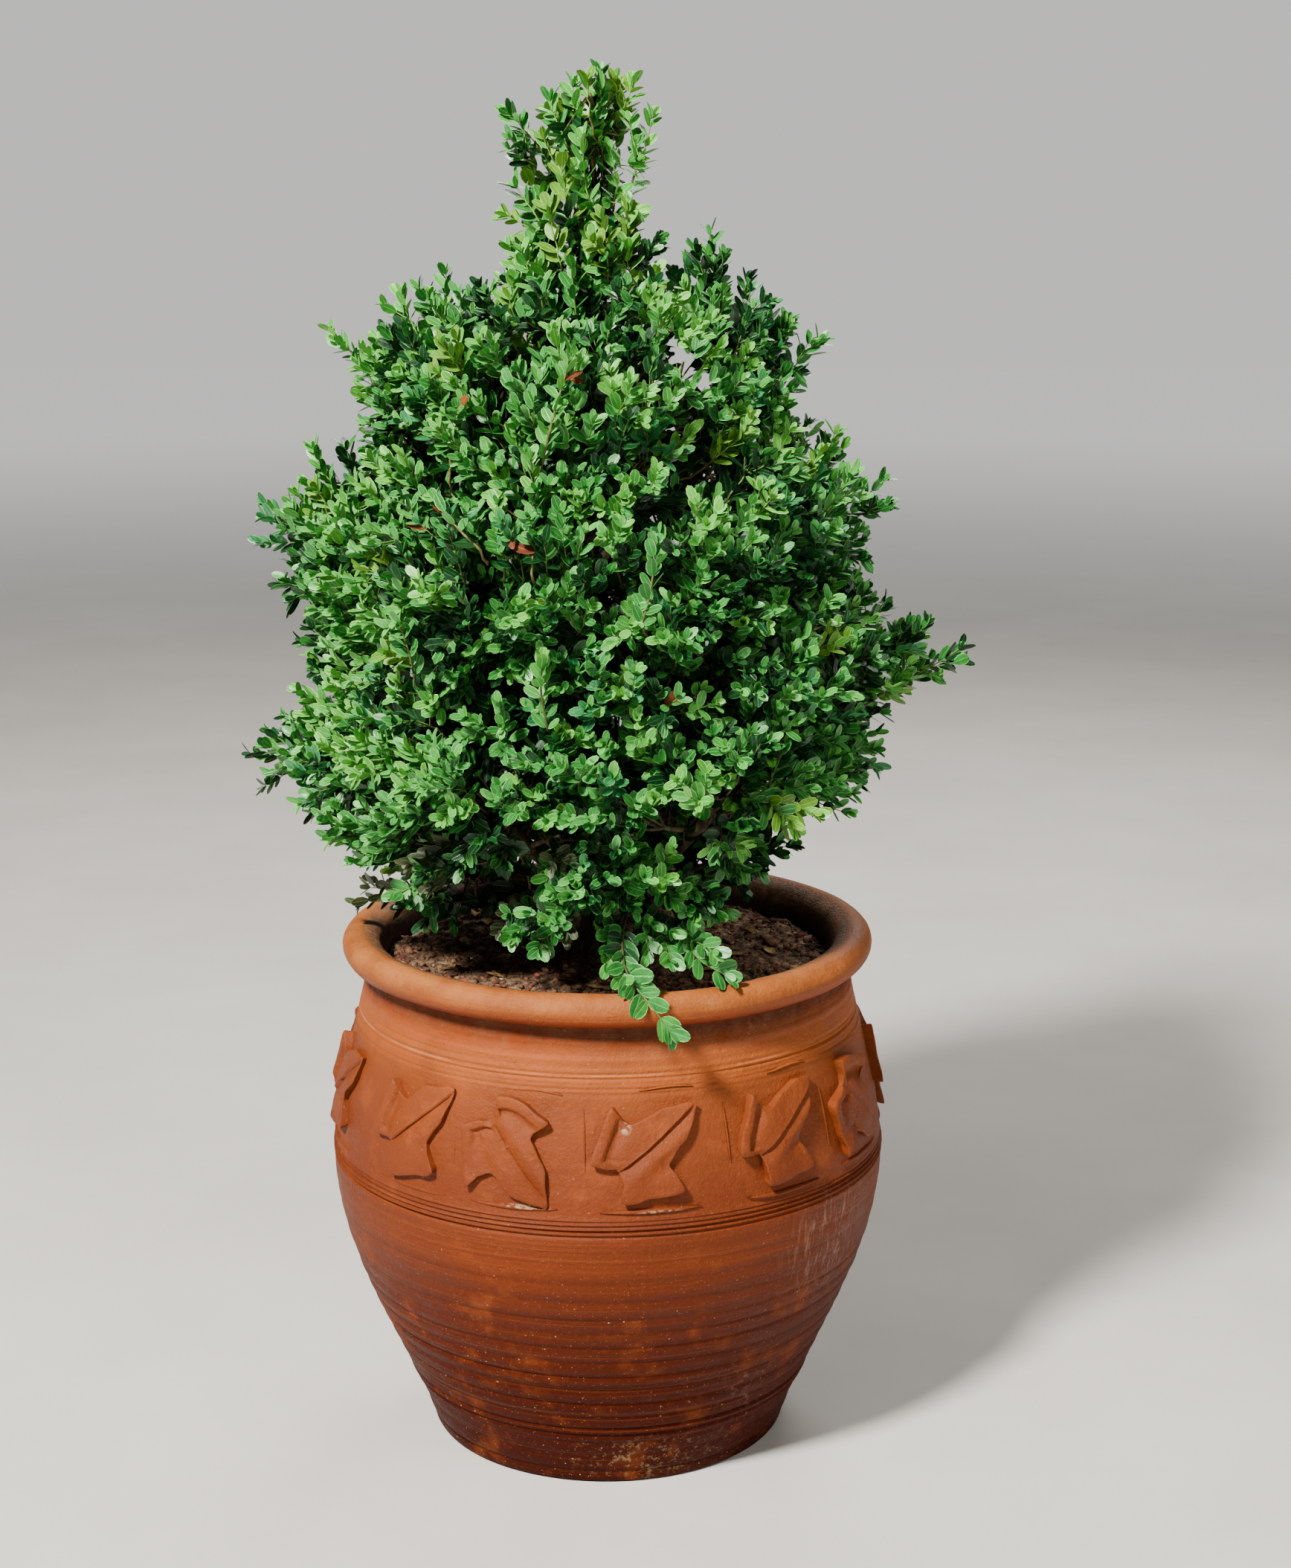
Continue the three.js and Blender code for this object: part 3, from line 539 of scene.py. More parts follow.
def build_pot():
    segs = 240
    th = np.arange(segs) * 2 * np.pi / segs
    zs = [0.0, 2.0]
    z = 2.0
    while z < 413:
        near = min(abs(z - c) for c, _, _ in RINGS)
        step = 0.62 if 249 < z < 265 or 359 < z < 379 else (1.1 if near < 2.5 or np.min(np.abs(HOLLOWS - z)) < 2 else 1.9)
        z += step
        zs.append(z)
    zs = np.array(zs)
    rows = []
    # the flat underside, with a small chamfer
    rows.append(("flat", 0.0, 0.0))
    rows.append(("flat", 80.0, 0.0))
    rows.append(("flat", 149.6, 0.0))
    outer = [(float(wall_radius(a)), float(a)) for a in zs]
    outer[0] = (151.4, 0.8)
    for r, a in outer:
        rows.append(("wall", r, a))
    for a in np.radians([-66, -52, -38, -24, -10, 4, 18, 32, 46, 60, 74, 88, 102, 114]):
        rows.append(("rim", RIM_R + ROLL * math.cos(a), RIM_Z + ROLL * math.sin(a)))
    rows += [("rim", RIM_R - 11.0, RIM_Z + 10.4), ("rim", RIM_R - 15.5, RIM_Z + 7.6), ("rim", RIM_R - 18.8, RIM_Z + 3.2), ("rim", RIM_R - 20.6, RIM_Z - 3)]
    for a in [420, 412, 404, 392, 376, 350, 310, 250, 180, 110, 60, 34]:
        rows.append(("inner", float(wall_radius(a)) - 17, a))
    rows += [("inner", 124.0, 20.0), ("inner", 0.0, 20.0)]
    verts = []
    wob = 0.5 * np.sin(2 * th + 0.6) + 0.35 * np.sin(3 * th + 2.0)
    for i, (kind, r, a) in enumerate(rows):
        rr = np.full(segs, r)
        zz = np.full(segs, a)
        if kind == "wall" and a > 1:
            fade = min(1.0, a / 12.0)
            dz = 0.9 * np.sin(th + 0.5) + 0.5 * np.sin(2 * th + 1.1 + a * 0.01)
            rr = rr + swell(a - dz * 0.8) * (1 + 0.2 * np.sin(2 * th + a * 0.05)) - 0.6 * (a < 228)
            for c, depth, half in RINGS:
                d = (a - c - dz * (0.55 if a > 240 else 0.8)) / half
                strength = depth * (1 + 0.22 * np.sin(2 * th + c) + 0.15 * np.sin(5 * th + 2.1 * c))
                rr = rr - strength * np.exp(-0.5 * d * d) + 0.45 * strength * (np.exp(-0.5 * (d - 1.9) ** 2) + np.exp(-0.5 * (d + 1.9) ** 2))
            p = np.stack([np.cos(th) * 1.6, np.sin(th) * 1.6, np.full(segs, a * 0.16)], 1)
            rr = rr + fade * 0.28 * value_noise(p, 3)
            p = np.stack([np.cos(th) * 2.2, np.sin(th) * 2.2, np.full(segs, a * 0.5)], 1)
            rr = rr + fade * 0.12 * value_noise(p, 5)
        if kind == "rim":
            p = np.stack([np.cos(th) * 5, np.sin(th) * 5, np.full(segs, i * 0.35)], 1)
            rr = rr + 0.5 * value_noise(p, 9)
            zz = zz + 0.45 * value_noise(p + 7.3, 9) + 0.6 * np.sin(2 * th + 1.0)
        rr = rr + wob * min(1.0, a / 120.0) * (r > 1)
        if kind in ("flat", "inner") and r == 0:
            verts.append(np.array([[0.0, 0.0, a]]))
        else:
            verts.append(np.stack([rr * np.cos(th), rr * np.sin(th), zz], 1))
    start = np.cumsum([0] + [len(v) for v in verts])
    quads, tris = [], []
    k = np.arange(segs)
    k2 = (k + 1) % segs
    for i in range(len(rows) - 1):
        a, b = start[i], start[i + 1]
        if len(verts[i]) == 1:
            tris.append(np.stack([np.full(segs, a), b + k2, b + k], 1))
        elif len(verts[i + 1]) == 1:
            tris.append(np.stack([a + k, a + k2, np.full(segs, b)], 1))
        else:
            quads.append(np.stack([a + k, a + k2, b + k2, b + k], 1))
    obj = make_object("terracotta_pot", np.concatenate(verts) * MM, [np.concatenate(quads), np.concatenate(tris)], TERRACOTTA)
    # drainage holes, cut through the floor
    cutters = Soup()
    for j in range(3):
        a = math.radians(30 + 120 * j)
        c = np.array([55 * math.cos(a), 55 * math.sin(a), 0])
        v, q, t = tube((c + np.array([[0, 0, -30.0], [0, 0, 60.0]])) * MM, [11 * MM, 11 * MM], 24)
        cutters.add(v, q, t)
    cutter = cutters.build("cutter", TERRACOTTA)
    mod = obj.modifiers.new("drain", "BOOLEAN")
    mod.object = cutter
    mod.operation = "DIFFERENCE"
    mod.solver = "EXACT"
    deps = bpy.context.evaluated_depsgraph_get()
    mesh = bpy.data.meshes.new_from_object(obj.evaluated_get(deps))
    obj.modifiers.clear()
    obj.data = mesh
    bpy.data.objects.remove(cutter)
    mesh.polygons.foreach_set("use_smooth", np.ones(len(mesh.polygons), bool))
    return obj


pot = build_pot()
finish_piece(pot, "terracotta", "pot")

# ------------------------------------------------------------------ ivy leaves in relief
# Outline: how far to the side, how far along from the stalk to the tip, in shares of that length; the right half and the left.
IVY_RIGHT = [
    (0.0, 1.0), (0.05, 0.93), (0.125, 0.81), (0.18, 0.69), (0.205, 0.57), (0.225, 0.47), (0.275, 0.405), (0.40, 0.385), (0.55, 0.37),
    (0.525, 0.28), (0.47, 0.165), (0.40, 0.03), (0.33, -0.075), (0.275, -0.155), (0.215, -0.135), (0.12, -0.075), (0.05, -0.035), (0.0, -0.02),
]
IVY_LEFT = [
    (0.06, 0.93), (0.145, 0.81), (0.205, 0.69), (0.24, 0.57), (0.25, 0.45), (0.27, 0.37), (0.36, 0.335), (0.53, 0.325),
    (0.475, 0.20), (0.40, 0.06), (0.31, -0.07), (0.225, -0.18), (0.165, -0.145), (0.09, -0.065), (0.04, -0.03),
]
IVY_AROUND = [-43, -19.6, 8, 37.5, 63.7, 94, 125.5, 157, 188.5, 220, 252, 284]
IVY_TURN = [-50, -141, -52, -54, -133, -52, -140, -50, -55, -136, -50, -54]
IVY_LEN = 80.0


def smooth_loop(points, n):
    """n points round a closed polygon, by a centripetal curve through its corners."""
    p = np.asarray(points, float)
    m = len(p)
    out = []
    per = max(2, n // m)
    for i in range(m):
        p0, p1, p2, p3 = p[i - 1], p[i], p[(i + 1) % m], p[(i + 2) % m]
        for t in np.arange(per) / per:
            t2, t3 = t * t, t * t * t
            c = 0.35
            out.append(
                (2 * t3 - 3 * t2 + 1) * p1 + (t3 - 2 * t2 + t) * c * (p2 - p0) + (-2 * t3 + 3 * t2) * p2 + (t3 - t2) * c * (p3 - p1)
            )
    return np.array(out)


def on_wall(u, w, z0, around, lift):
    """Points on the pot's wall: u round it and w up it, in mm, from a leaf's middle."""
    z = z0 + w
    a = np.radians(around - 90) + u / 229.0
    r = wall_radius(z) + lift
    return np.stack([r * np.cos(a), r * np.sin(a), z], -1)


def build_ivy(k):
    own = np.random.default_rng(100 + k)
    turn = math.radians(IVY_TURN[k])
    ca, sa = math.cos(turn), math.sin(turn)
    z0 = 323 if IVY_TURN[k] > -90 else 315
    half, left = np.array(IVY_RIGHT), np.array(IVY_LEFT)[::-1]
    left[:, 0] *= -1
    if IVY_TURN[k] < -90:
        half[:, 0] += 0.03 * (half[:, 0] > 0.1) * (half[:, 1] > 0.3)
    # each leaf is stretched a little its own way, as hand-modelled ones are
    shape = np.concatenate([half, left])
    lob = own.normal(0, 0.010, shape.shape)
    lob[0] = lob[len(half) - 1] = 0
    shape = shape + lob
    skew = own.uniform(-0.06, 0.06)
    shape[:, 0] += skew * (shape[:, 1] - 0.3)
    loop = smooth_loop(shape, 176)
    # the outer edge of one side lobe carries a raised border, on leaves that point down the stalk's edge too
    rim = np.zeros(len(shape))
    rim[len(half) + 2 : len(half) + 8] = (0.5, 1, 1, 1, 1, 0.5)
    if IVY_TURN[k] < -90:
        rim[len(half) - 7 : len(half)] = (0.5, 1, 1, 1, 1, 0.7, 0.3)
    per = len(loop) // len(shape)
    rim = np.interp(np.arange(len(loop)) / per, np.arange(len(shape) + 1), np.append(rim, rim[0]))
    mid = np.array([0.0, 0.30])
    n = len(loop)
    levels = [0.0, 0.02, 0.08, 0.16, 0.24, 0.32, 0.40, 0.48, 0.55, 0.61, 0.66, 0.705, 0.745, 0.787, 0.83, 0.88, 0.925, 0.957, 0.982, 1.0]
    curl = own.uniform(0.75, 1.2, 4)

    def height(x, y, t, rim):
        """Relief in mm at a place on the leaf; t is 0 at its middle and 1 at its edge, rim how much of a raised border it has."""
        fade = np.clip((y + 0.03) * 9, 0, 1) * np.clip((1.0 - y) * 9, 0, 1)
        h = 6.5 - 1.6 * np.clip((y - 0.55) / 0.45, 0, 1)
        # the crease is a step: one half overlaps the other, which rises again to a low ridge
        s = x * (-1 if IVY_TURN[k] < -90 else 1)
        h = h - (s > 1e-4) * fade * 3.2 * np.exp(-np.abs(s) / 0.055)
        h = h + (s > 0) * fade * 1.2 * np.exp(-(((s - 0.13) / 0.05) ** 2))
        h = h + (s <= 1e-4) * fade * 0.9 * np.exp(-np.abs(s) / 0.05)
        # planes that fall away towards the notches, and a dimple in one half
        h = h - 2.0 * curl[0] * np.exp(-(((x - 0.25) / 0.07) ** 2) - ((y - 0.36) / 0.13) ** 2)
        h = h - 1.8 * curl[1] * np.exp(-(((x + 0.30) / 0.08) ** 2) - ((y - 0.24) / 0.12) ** 2)
        h = h - 1.2 * np.clip(np.abs(x) - 0.10, 0, 0.2) / 0.2 * np.clip((y - 0.45) * 3, 0, 1)
        # the side lobes' tips curl out, the stalk lobes rise
        h = h + 1.6 * curl[2] * np.exp(-(((np.abs(x) - 0.52) / 0.08) ** 2) - ((y - 0.33) / 0.12) ** 2)
        h = h + 0.9 * curl[3] * np.exp(-(((np.abs(x) - 0.27) / 0.08) ** 2) - ((y + 0.12) / 0.09) ** 2)
        h = h - 1.4 * np.exp(-((x / 0.10) ** 2) - ((y + 0.01) / 0.06) ** 2)
        # border: a hollow, then a step up to the edge
        h = h - 2.4 * rim * np.exp(-(((t - 0.64) / 0.11) ** 2)) + 2.2 * rim * np.clip((t - 0.745) / 0.04, 0, 1)
        h = h + 0.95 * value_noise(np.stack([x * 5, y * 5, np.full(len(x), k * 1.9)], 1), 6)
        edge = np.clip((t - 0.955) / 0.045, 0, 1)
        return np.clip(h, 2.6, 10.7) - 0.8 * edge**2

    verts, rings = [], []
    for t in levels:
        if t == 0:
            p = mid[None]
        else:
            p = mid + (loop - mid) * t
        x, y = p[:, 0], p[:, 1]
        h = height(x, y, t, rim if t else 0.0)
        h = h + 0.22 * value_noise(np.stack([x * 16, y * 16, np.full(len(x), k * 3.7)], 1), 2)
        yy = (y - 0.36) * IVY_LEN
        xx = x * IVY_LEN
        u, w = xx * ca - yy * sa, xx * sa + yy * ca
        verts.append(on_wall(u, w, z0, IVY_AROUND[k], h))
        rings.append(len(p))
    # the side of the leaf: an overhang in under the edge, then into the wall
    for inset, lift in ((1.0, 1.0), (0.985, 0.5), (0.962, 0.1), (0.955, None)):
        p = mid + (loop - mid) * inset
        x, y = p[:, 0], p[:, 1]
        h = height(x, y, 1.0, rim)
        h = h * lift if lift is not None else np.full(len(x), -2.0)
        yy = (y - 0.36) * IVY_LEN
        xx = x * IVY_LEN
        u, w = xx * ca - yy * sa, xx * sa + yy * ca
        verts.append(on_wall(u, w, z0, IVY_AROUND[k], h))
        rings.append(len(p))
    start = np.cumsum([0] + rings)
    i = np.arange(n)
    j = (i + 1) % n
    quads = []
    tris = [np.stack([np.zeros(n, int), 1 + i, 1 + j], 1)]
    for a in range(1, len(rings) - 1):
        if a == len(levels) - 1:
            continue  # a crisp edge between the leaf's face and its side
        s0, s1 = start[a], start[a + 1]
        quads.append(np.stack([s0 + i, s1 + i, s1 + j, s0 + j], 1))
    back = len(np.concatenate(verts))
    verts.append(on_wall(np.array([0.0]), np.array([0.0]), z0, IVY_AROUND[k], -2.0))
    s = start[len(rings) - 1]
    tris.append(np.stack([np.full(n, back), s + j, s + i], 1))
    soup = Soup()
    soup.v.append(np.concatenate(verts) * MM)
    soup.f4.append(np.concatenate(quads))
    soup.f3.append(np.concatenate(tris))
    soup.n = back + 1
    # the edges of the pad of clay that the leaf was pressed from: a ridge below, a score at the left and above
    def ridge(x0, w0, x1, w1, high, wide, bow=0.0):
        m = 22
        t = np.linspace(0, 1, m)
        u = x0 + (x1 - x0) * t
        w = w0 + (w1 - w0) * t + bow * np.sin(np.pi * t)
        w = w + 0.4 * value_noise(np.stack([t * 5, np.full(m, k * 2.3), t * 0], 1), 4)
        fat = np.sin(np.pi * np.clip(t, 0.0, 1.0)) ** 0.7
        du, dw = np.gradient(u), np.gradient(w)
        l = np.hypot(du, dw)
        nu, nw = -dw / l, du / l
        prof = [(-1.0, -0.8), (-0.55, 0.55), (0.0, 1.0), (0.6, 0.5), (1.0, -0.8)]
        v = []
        for off, hh in prof:
            v.append(on_wall(u + nu * off * wide * fat, w + nw * off * wide * fat, z0, IVY_AROUND[k], hh * high * (0.35 + 0.65 * fat)))
        v = np.stack(v, 1).reshape(-1, 3)
        c = len(prof)
        a, b = np.meshgrid(np.arange(m - 1), np.arange(c), indexing="ij")
        a, b = a.ravel(), b.ravel()
        b2 = (b + 1) % c
        q = np.stack([a * c + b, a * c + b2, (a + 1) * c + b2, (a + 1) * c + b], 1)
        ends = np.array([[e * c + 0, e * c + x + 1, e * c + x] for e in (0,) for x in range(1, c - 1)])
        ends2 = np.array([[(m - 1) * c + 0, (m - 1) * c + x, (m - 1) * c + x + 1] for x in range(1, c - 1)])
        soup.add(v * MM, q, ends, ends2)

    low = -51 if IVY_TURN[k] > -90 else -42
    ridge(-36 + own.uniform(-3, 3), low, 40 + own.uniform(-3, 2), low + own.uniform(-1, 1), 2.4, 2.6, own.uniform(-1.5, -0.2))
    ridge(-50, -20, -52 + own.uniform(-1, 1), 28, 1.0, 0.9, own.uniform(-1, 1))
    ridge(-6, 42 if IVY_TURN[k] > -90 else 48, 41, 43 if IVY_TURN[k] > -90 else 46, 1.1, 1.0, own.uniform(0.5, 2.0))
    return soup.build("ivy_leaf_%02d" % (k + 1), TERRACOTTA)


for k in range(12):
    finish_piece(build_ivy(k), "terracotta", "ivy_relief_%02d" % (k + 1))

# ------------------------------------------------------------------ soil
SOIL_Z = 416.0


def soil_height(x, y):
    """Height of the soil in mm at x, y in mm."""
    r = np.hypot(x, y)
    p = np.stack([x / 38, y / 38, np.zeros_like(x)], -1).reshape(-1, 3)
    q = np.stack([x / 11, y / 11, np.zeros_like(x) + 3], -1).reshape(-1, 3)
    s = np.stack([x / 4.2, y / 4.2, np.zeros_like(x) + 9], -1).reshape(-1, 3)
    h = 3.2 * value_noise(p, 11) + 1.8 * value_noise(q, 12) + 1.0 * value_noise(s, 13)
    h = h.reshape(np.shape(x))
    return SOIL_Z + 1.5 + h - 5.0 * np.clip((r - 168) / 22, 0, 1) ** 2 + 4.0 * np.exp(-((r / 42) ** 2))


def build_soil():
    rings, segs = 84, 150
    th = np.arange(segs) * 2 * np.pi / segs
    rr = np.linspace(3, 190.5, rings)
    x = rr[:, None] * np.cos(th)
    y = rr[:, None] * np.sin(th)
    z = soil_height(x, y)
    verts = [np.stack([x, y, z], -1).reshape(-1, 3)]
    down = [(190.5, 380.0), (190.0, 340.0)]
    for r, a in down:
        verts.append(np.stack([r * np.cos(th), r * np.sin(th), np.full(segs, a)], 1))
    verts.append(np.array([[0, 0, float(soil_height(np.array([0.0]), np.array([0.0]))[0])], [0, 0, 340.0]]))
    v = np.concatenate(verts)
    n = rings + len(down)
    i, k = np.meshgrid(np.arange(n - 1), np.arange(segs), indexing="ij")
    i, k = i.ravel(), k.ravel()
    k2 = (k + 1) % segs
    quads = np.stack([i * segs + k, (i + 1) * segs + k, (i + 1) * segs + k2, i * segs + k2], 1)
    k = np.arange(segs)
    k2 = (k + 1) % segs
    t = np.concatenate([
        np.stack([np.full(segs, n * segs), k, k2], 1),
        np.stack([np.full(segs, n * segs + 1), (n - 1) * segs + k2, (n - 1) * segs + k], 1),
    ])
    return make_object("soil_surface", v * MM, [quads, t], SOIL)


finish_piece(build_soil(), "soil", "soil")

_ico = None


def lump(own, size, flat=1.0, long=1.0):
    """A small irregular stone or crumb of 20 faces."""
    global _ico
    if _ico is None:
        p = (1 + 5**0.5) / 2
        v = unit(np.array([
            (-1, p, 0), (1, p, 0), (-1, -p, 0), (1, -p, 0), (0, -1, p), (0, 1, p), (0, -1, -p), (0, 1, -p), (p, 0, -1), (p, 0, 1), (-p, 0, -1), (-p, 0, 1)]))
        f = np.array([
            (0, 11, 5), (0, 5, 1), (0, 1, 7), (0, 7, 10), (0, 10, 11), (1, 5, 9), (5, 11, 4), (11, 10, 2), (10, 7, 6), (7, 1, 8),
            (3, 9, 4), (3, 4, 2), (3, 2, 6), (3, 6, 8), (3, 8, 9), (4, 9, 5), (2, 4, 11), (6, 2, 10), (8, 6, 7), (9, 8, 1)])
        _ico = (v, f)
    v = _ico[0] * (1 + own.uniform(-0.25, 0.25, (12, 1)))
    v = v * (long, 1.0, flat) * size
    a, b, c = own.uniform(0, 6.283), own.uniform(-0.5, 0.5), own.uniform(-0.5, 0.5)
    ca, sa, cb, sb, cc, sc = math.cos(a), math.sin(a), math.cos(b), math.sin(b), math.cos(c), math.sin(c)
    m = np.array([[ca, -sa, 0], [sa, ca, 0], [0, 0, 1]]) @ np.array([[cb, 0, sb], [0, 1, 0], [-sb, 0, cb]]) @ np.array([[1, 0, 0], [0, cc, -sc], [0, sc, cc]])
    return v @ m.T, _ico[1]


def scatter(name, material, count, low, high, flat, long, seed):
    own = np.random.default_rng(seed)
    soup = Soup()
    for _ in range(count):
        r = 187 * math.sqrt(own.uniform(0.0, 1))
        a = own.uniform(0, 6.283)
        x, y = r * math.cos(a), r * math.sin(a)
        s = low + (high - low) * own.uniform() ** 2.2
        if r + s * long > 188:
            continue
        v, f = lump(own, s, own.uniform(*flat), own.uniform(1.0, long))
        v = v + (x, y, float(soil_height(np.array([x]), np.array([y]))[0]) + s * 0.25)
        soup.add(v * MM, f)
    return finish_piece(soup.build(name, material, smooth=False), "soil")


scatter("soil_crumbs", CRUMB, 1900, 0.8, 3.6, (0.6, 1.0), 1.5, 31)
scatter("red_crumbs", RED_CRUMB, 1500, 0.8, 2.6, (0.6, 1.0), 1.4, 34)
scatter("bark_chips", CHIP, 260, 1.6, 6.0, (0.2, 0.5), 2.4, 32)
scatter("pale_grit", PALE_CHIP, 170, 0.6, 1.8, (0.6, 0.9), 1.3, 33)


def dry_leaves(count):
    """Fallen leaves, curled, lying on the soil."""
    own = np.random.default_rng(35)
    soup = Soup()
    made = 0
    while made < count:
        r, a = 178 * math.sqrt(own.uniform(0.3, 1)), own.uniform(0, 6.283)
        x, y = r * math.cos(a), r * math.sin(a)
        if y > 40 and own.uniform() < 0.6:
            continue
        L, W = own.uniform(13, 20), own.uniform(3.2, 5.0)
        u = np.linspace(-1, 1, 9)
        w = np.linspace(-1, 1, 5)
        uu, ww = np.meshgrid(u, w, indexing="ij")
        px = uu * L / 2
        py = ww * W * np.sqrt(np.clip(1 - uu**2, 0.02, 1))
        pz = 0.10 * own.uniform(0.5, 2.0) * py**2 + 0.02 * own.uniform(-0.5, 1.5) * px**2 + own.uniform(-0.12, 0.12) * px
        c, q = math.cos(a * 7.3), math.sin(a * 7.3)
        v = np.stack([px * c - py * q + x, px * q + py * c + y, pz], -1).reshape(-1, 3)
        v[:, 2] += float(soil_height(np.array([x]), np.array([y]))[0]) + 1.6 - min(0, v[:, 2].min())
        if np.hypot(v[:, 0], v[:, 1]).max() > 187:
            continue
        i, k = np.meshgrid(np.arange(8), np.arange(4), indexing="ij")
        i, k = i.ravel(), k.ravel()
        top = np.stack([i * 5 + k, (i + 1) * 5 + k, (i + 1) * 5 + k + 1, i * 5 + k + 1], 1)
        soup.add(v * MM, top)
        made += 1
    return finish_piece(soup.build("dry_leaves", DRY), "soil")


dry_leaves(26)


# ------------------------------------------------------------------ trunk and boughs
def key(n):
    """A repeatable number from 0 to 1, the one that the model's boughs are bent by."""
    s = math.sin(n * 127.1 + 311.7) * 43758.5453
    return s - math.floor(s)


TRUNK_FOOT_Z, TRUNK_TOP_Z = 416.35, 962.0
TRUNK_SPAN = TRUNK_TOP_Z - 416.0
MASSES = [
    ("spire_top", (-12, 0, 1092)), ("spire_neck", (-26, -2, 1008)), ("shoulder_left", (-126, -20, 912)), ("shoulder_right", (98, 4, 920)),
    ("shoulder_front", (-14, -112, 880)), ("shoulder_back", (-10, 114, 890)), ("flank_left", (-168, -10, 764)),
    ("flank_front_left", (-84, -144, 738)), ("flank_front_right", (80, -146, 756)), ("flank_right", (146, -6, 772)),
    ("flank_back_right", (90, 140, 744)), ("flank_back_left", (-86, 142, 752)), ("skirt_left", (-172, 8, 606)),
    ("skirt_front_left", (-84, -146, 588)), ("skirt_front_right", (86, -146, 594)), ("skirt_right", (160, 0, 634)),
    ("skirt_back_right", (92, 146, 596)), ("skirt_back_left", (-88, 148, 596)), ("hem_left", (-116, -26, 496)),
    ("hem_front", (20, -128, 492)), ("hem_back", (2, 124, 496)), ("hem_right", (98, 0, 500)),
]


def trunk_line(t):
    t = np.asarray(t, float)
    return np.stack([
        -4 - 14 * t + 7 * np.sin(t * 7.5) * (0.35 + 0.65 * t), -2 + 6 * np.sin(t * 5.2 + 1) * t, TRUNK_FOOT_Z + t * TRUNK_SPAN], -1)


def trunk_radius(t):
    return 17 + (5 - 17) * np.power(t, 0.8) + 13 * np.exp(-t * 38)


def bark_tube(points, radii, sides, seed, rough):
    """A limb with furrowed bark: ridges run along it and break up."""
    n = len(points)
    seg = np.linalg.norm(np.diff(points, axis=0), axis=1)
    along = np.concatenate([[0], np.cumsum(seg)])
    a = np.arange(sides) * 2 * np.pi / sides
    p = np.stack([
        np.cos(a)[None] * 2.6 + 0 * along[:, None], np.sin(a)[None] * 2.6 + 0 * along[:, None], along[:, None] / 16 + 0 * a[None]], -1)
    q = p * (2.3, 2.3, 2.6)
    ridge = 1 - np.abs(value_noise(p.reshape(-1, 3), seed)) * 2
    fine = value_noise(q.reshape(-1, 3), seed + 1)
    h = (ridge * 0.65 + fine * 0.45).reshape(n, sides)
    r = np.asarray(radii)[:, None] * (1 + rough * h)
    return tube(points, r, sides)


def build_trunk():
    t = np.concatenate([np.linspace(0, 0.12, 26), np.linspace(0.13, 1.0, 110)])
    pts = trunk_line(t)
    sides = 30
    r = trunk_radius(t)
    a = np.arange(sides) * 2 * np.pi / sides
    soup = Soup()
    n = len(t)
    along = np.concatenate([[0], np.cumsum(np.linalg.norm(np.diff(pts, axis=0), axis=1))])
    p = np.stack([np.cos(a)[None] * 2.4 + 0 * along[:, None], np.sin(a)[None] * 2.4 + 0 * along[:, None], along[:, None] / 20 + 0 * a[None]], -1)
    ridge = 1 - np.abs(value_noise(p.reshape(-1, 3), 21)) * 2
    fine = value_noise((p * (2.4, 2.4, 3.0)).reshape(-1, 3), 22)
    h = (ridge * 0.6 + fine * 0.4).reshape(n, sides)
    flare = np.exp(-t * 26)[:, None] * (0.16 * np.cos(4 * a + 0.7) + 0.08 * np.cos(7 * a))[None]
    rr = r[:, None] * (1 + 0.085 * h + flare)
    v, q, tr = tube(pts, rr, sides)
    v[:, 2] = np.maximum(v[:, 2], 412.0)
    soup.add(v * MM, q, tr)
    return soup.build("trunk_bark", BARK)


finish_piece(build_trunk(), "bark", "trunk")


def bough_path(i, steps=14):
    """The limb from the trunk into mass i, as the model has it, and on to the mass's middle."""
    name, c = MASSES[i]
    low = c[2] < 560
    t0 = 0.05 + 0.03 * key(i) if low else min(0.86, max(0.12, (c[2] - 416 - 120 - 75 * key(i + 5)) / TRUNK_SPAN))
    start = trunk_line(t0)
    end = np.array([c[0], c[1], c[2] - (6 if low else 18)], float)
    t = np.linspace(0, 1, steps)
    pts = start + (end - start) * t[:, None]
    pts[:, 2] += (10 if low else -16) * np.sin(np.pi * t)
    kx = np.array([6 * (key(i * 9 + k) - 0.5) for k in range(5)])
    ky = np.array([6 * (key(i * 11 + k) - 0.5) for k in range(5)])
    pts[:, 0] += np.interp(t, np.arange(5) / 4, kx) * np.sin(np.pi * t)
    pts[:, 1] += np.interp(t, np.arange(5) / 4, ky) * np.sin(np.pi * t)
    r0 = 5.2 if low else 8.6 - 4 * t0
    return pts, r0 + (r0 * 0.55 - r0) * t


boughs = Soup()
BOUGH_END = {}
for i, (name, c) in enumerate(MASSES):
    if name.startswith("spire"):
        continue
    pts, r = bough_path(i)
    fine_t = np.linspace(0, 1, 34)
    pts = np.stack([np.interp(fine_t, np.linspace(0, 1, len(pts)), pts[:, k]) for k in range(3)], 1)
    r = np.interp(fine_t, np.linspace(0, 1, len(r)), r)
    boughs.add(*(lambda v, q, t: (v * MM, q, t))(*bark_tube(pts, r, 14, 40 + i, 0.07)))
    BOUGH_END[name] = (pts, r)
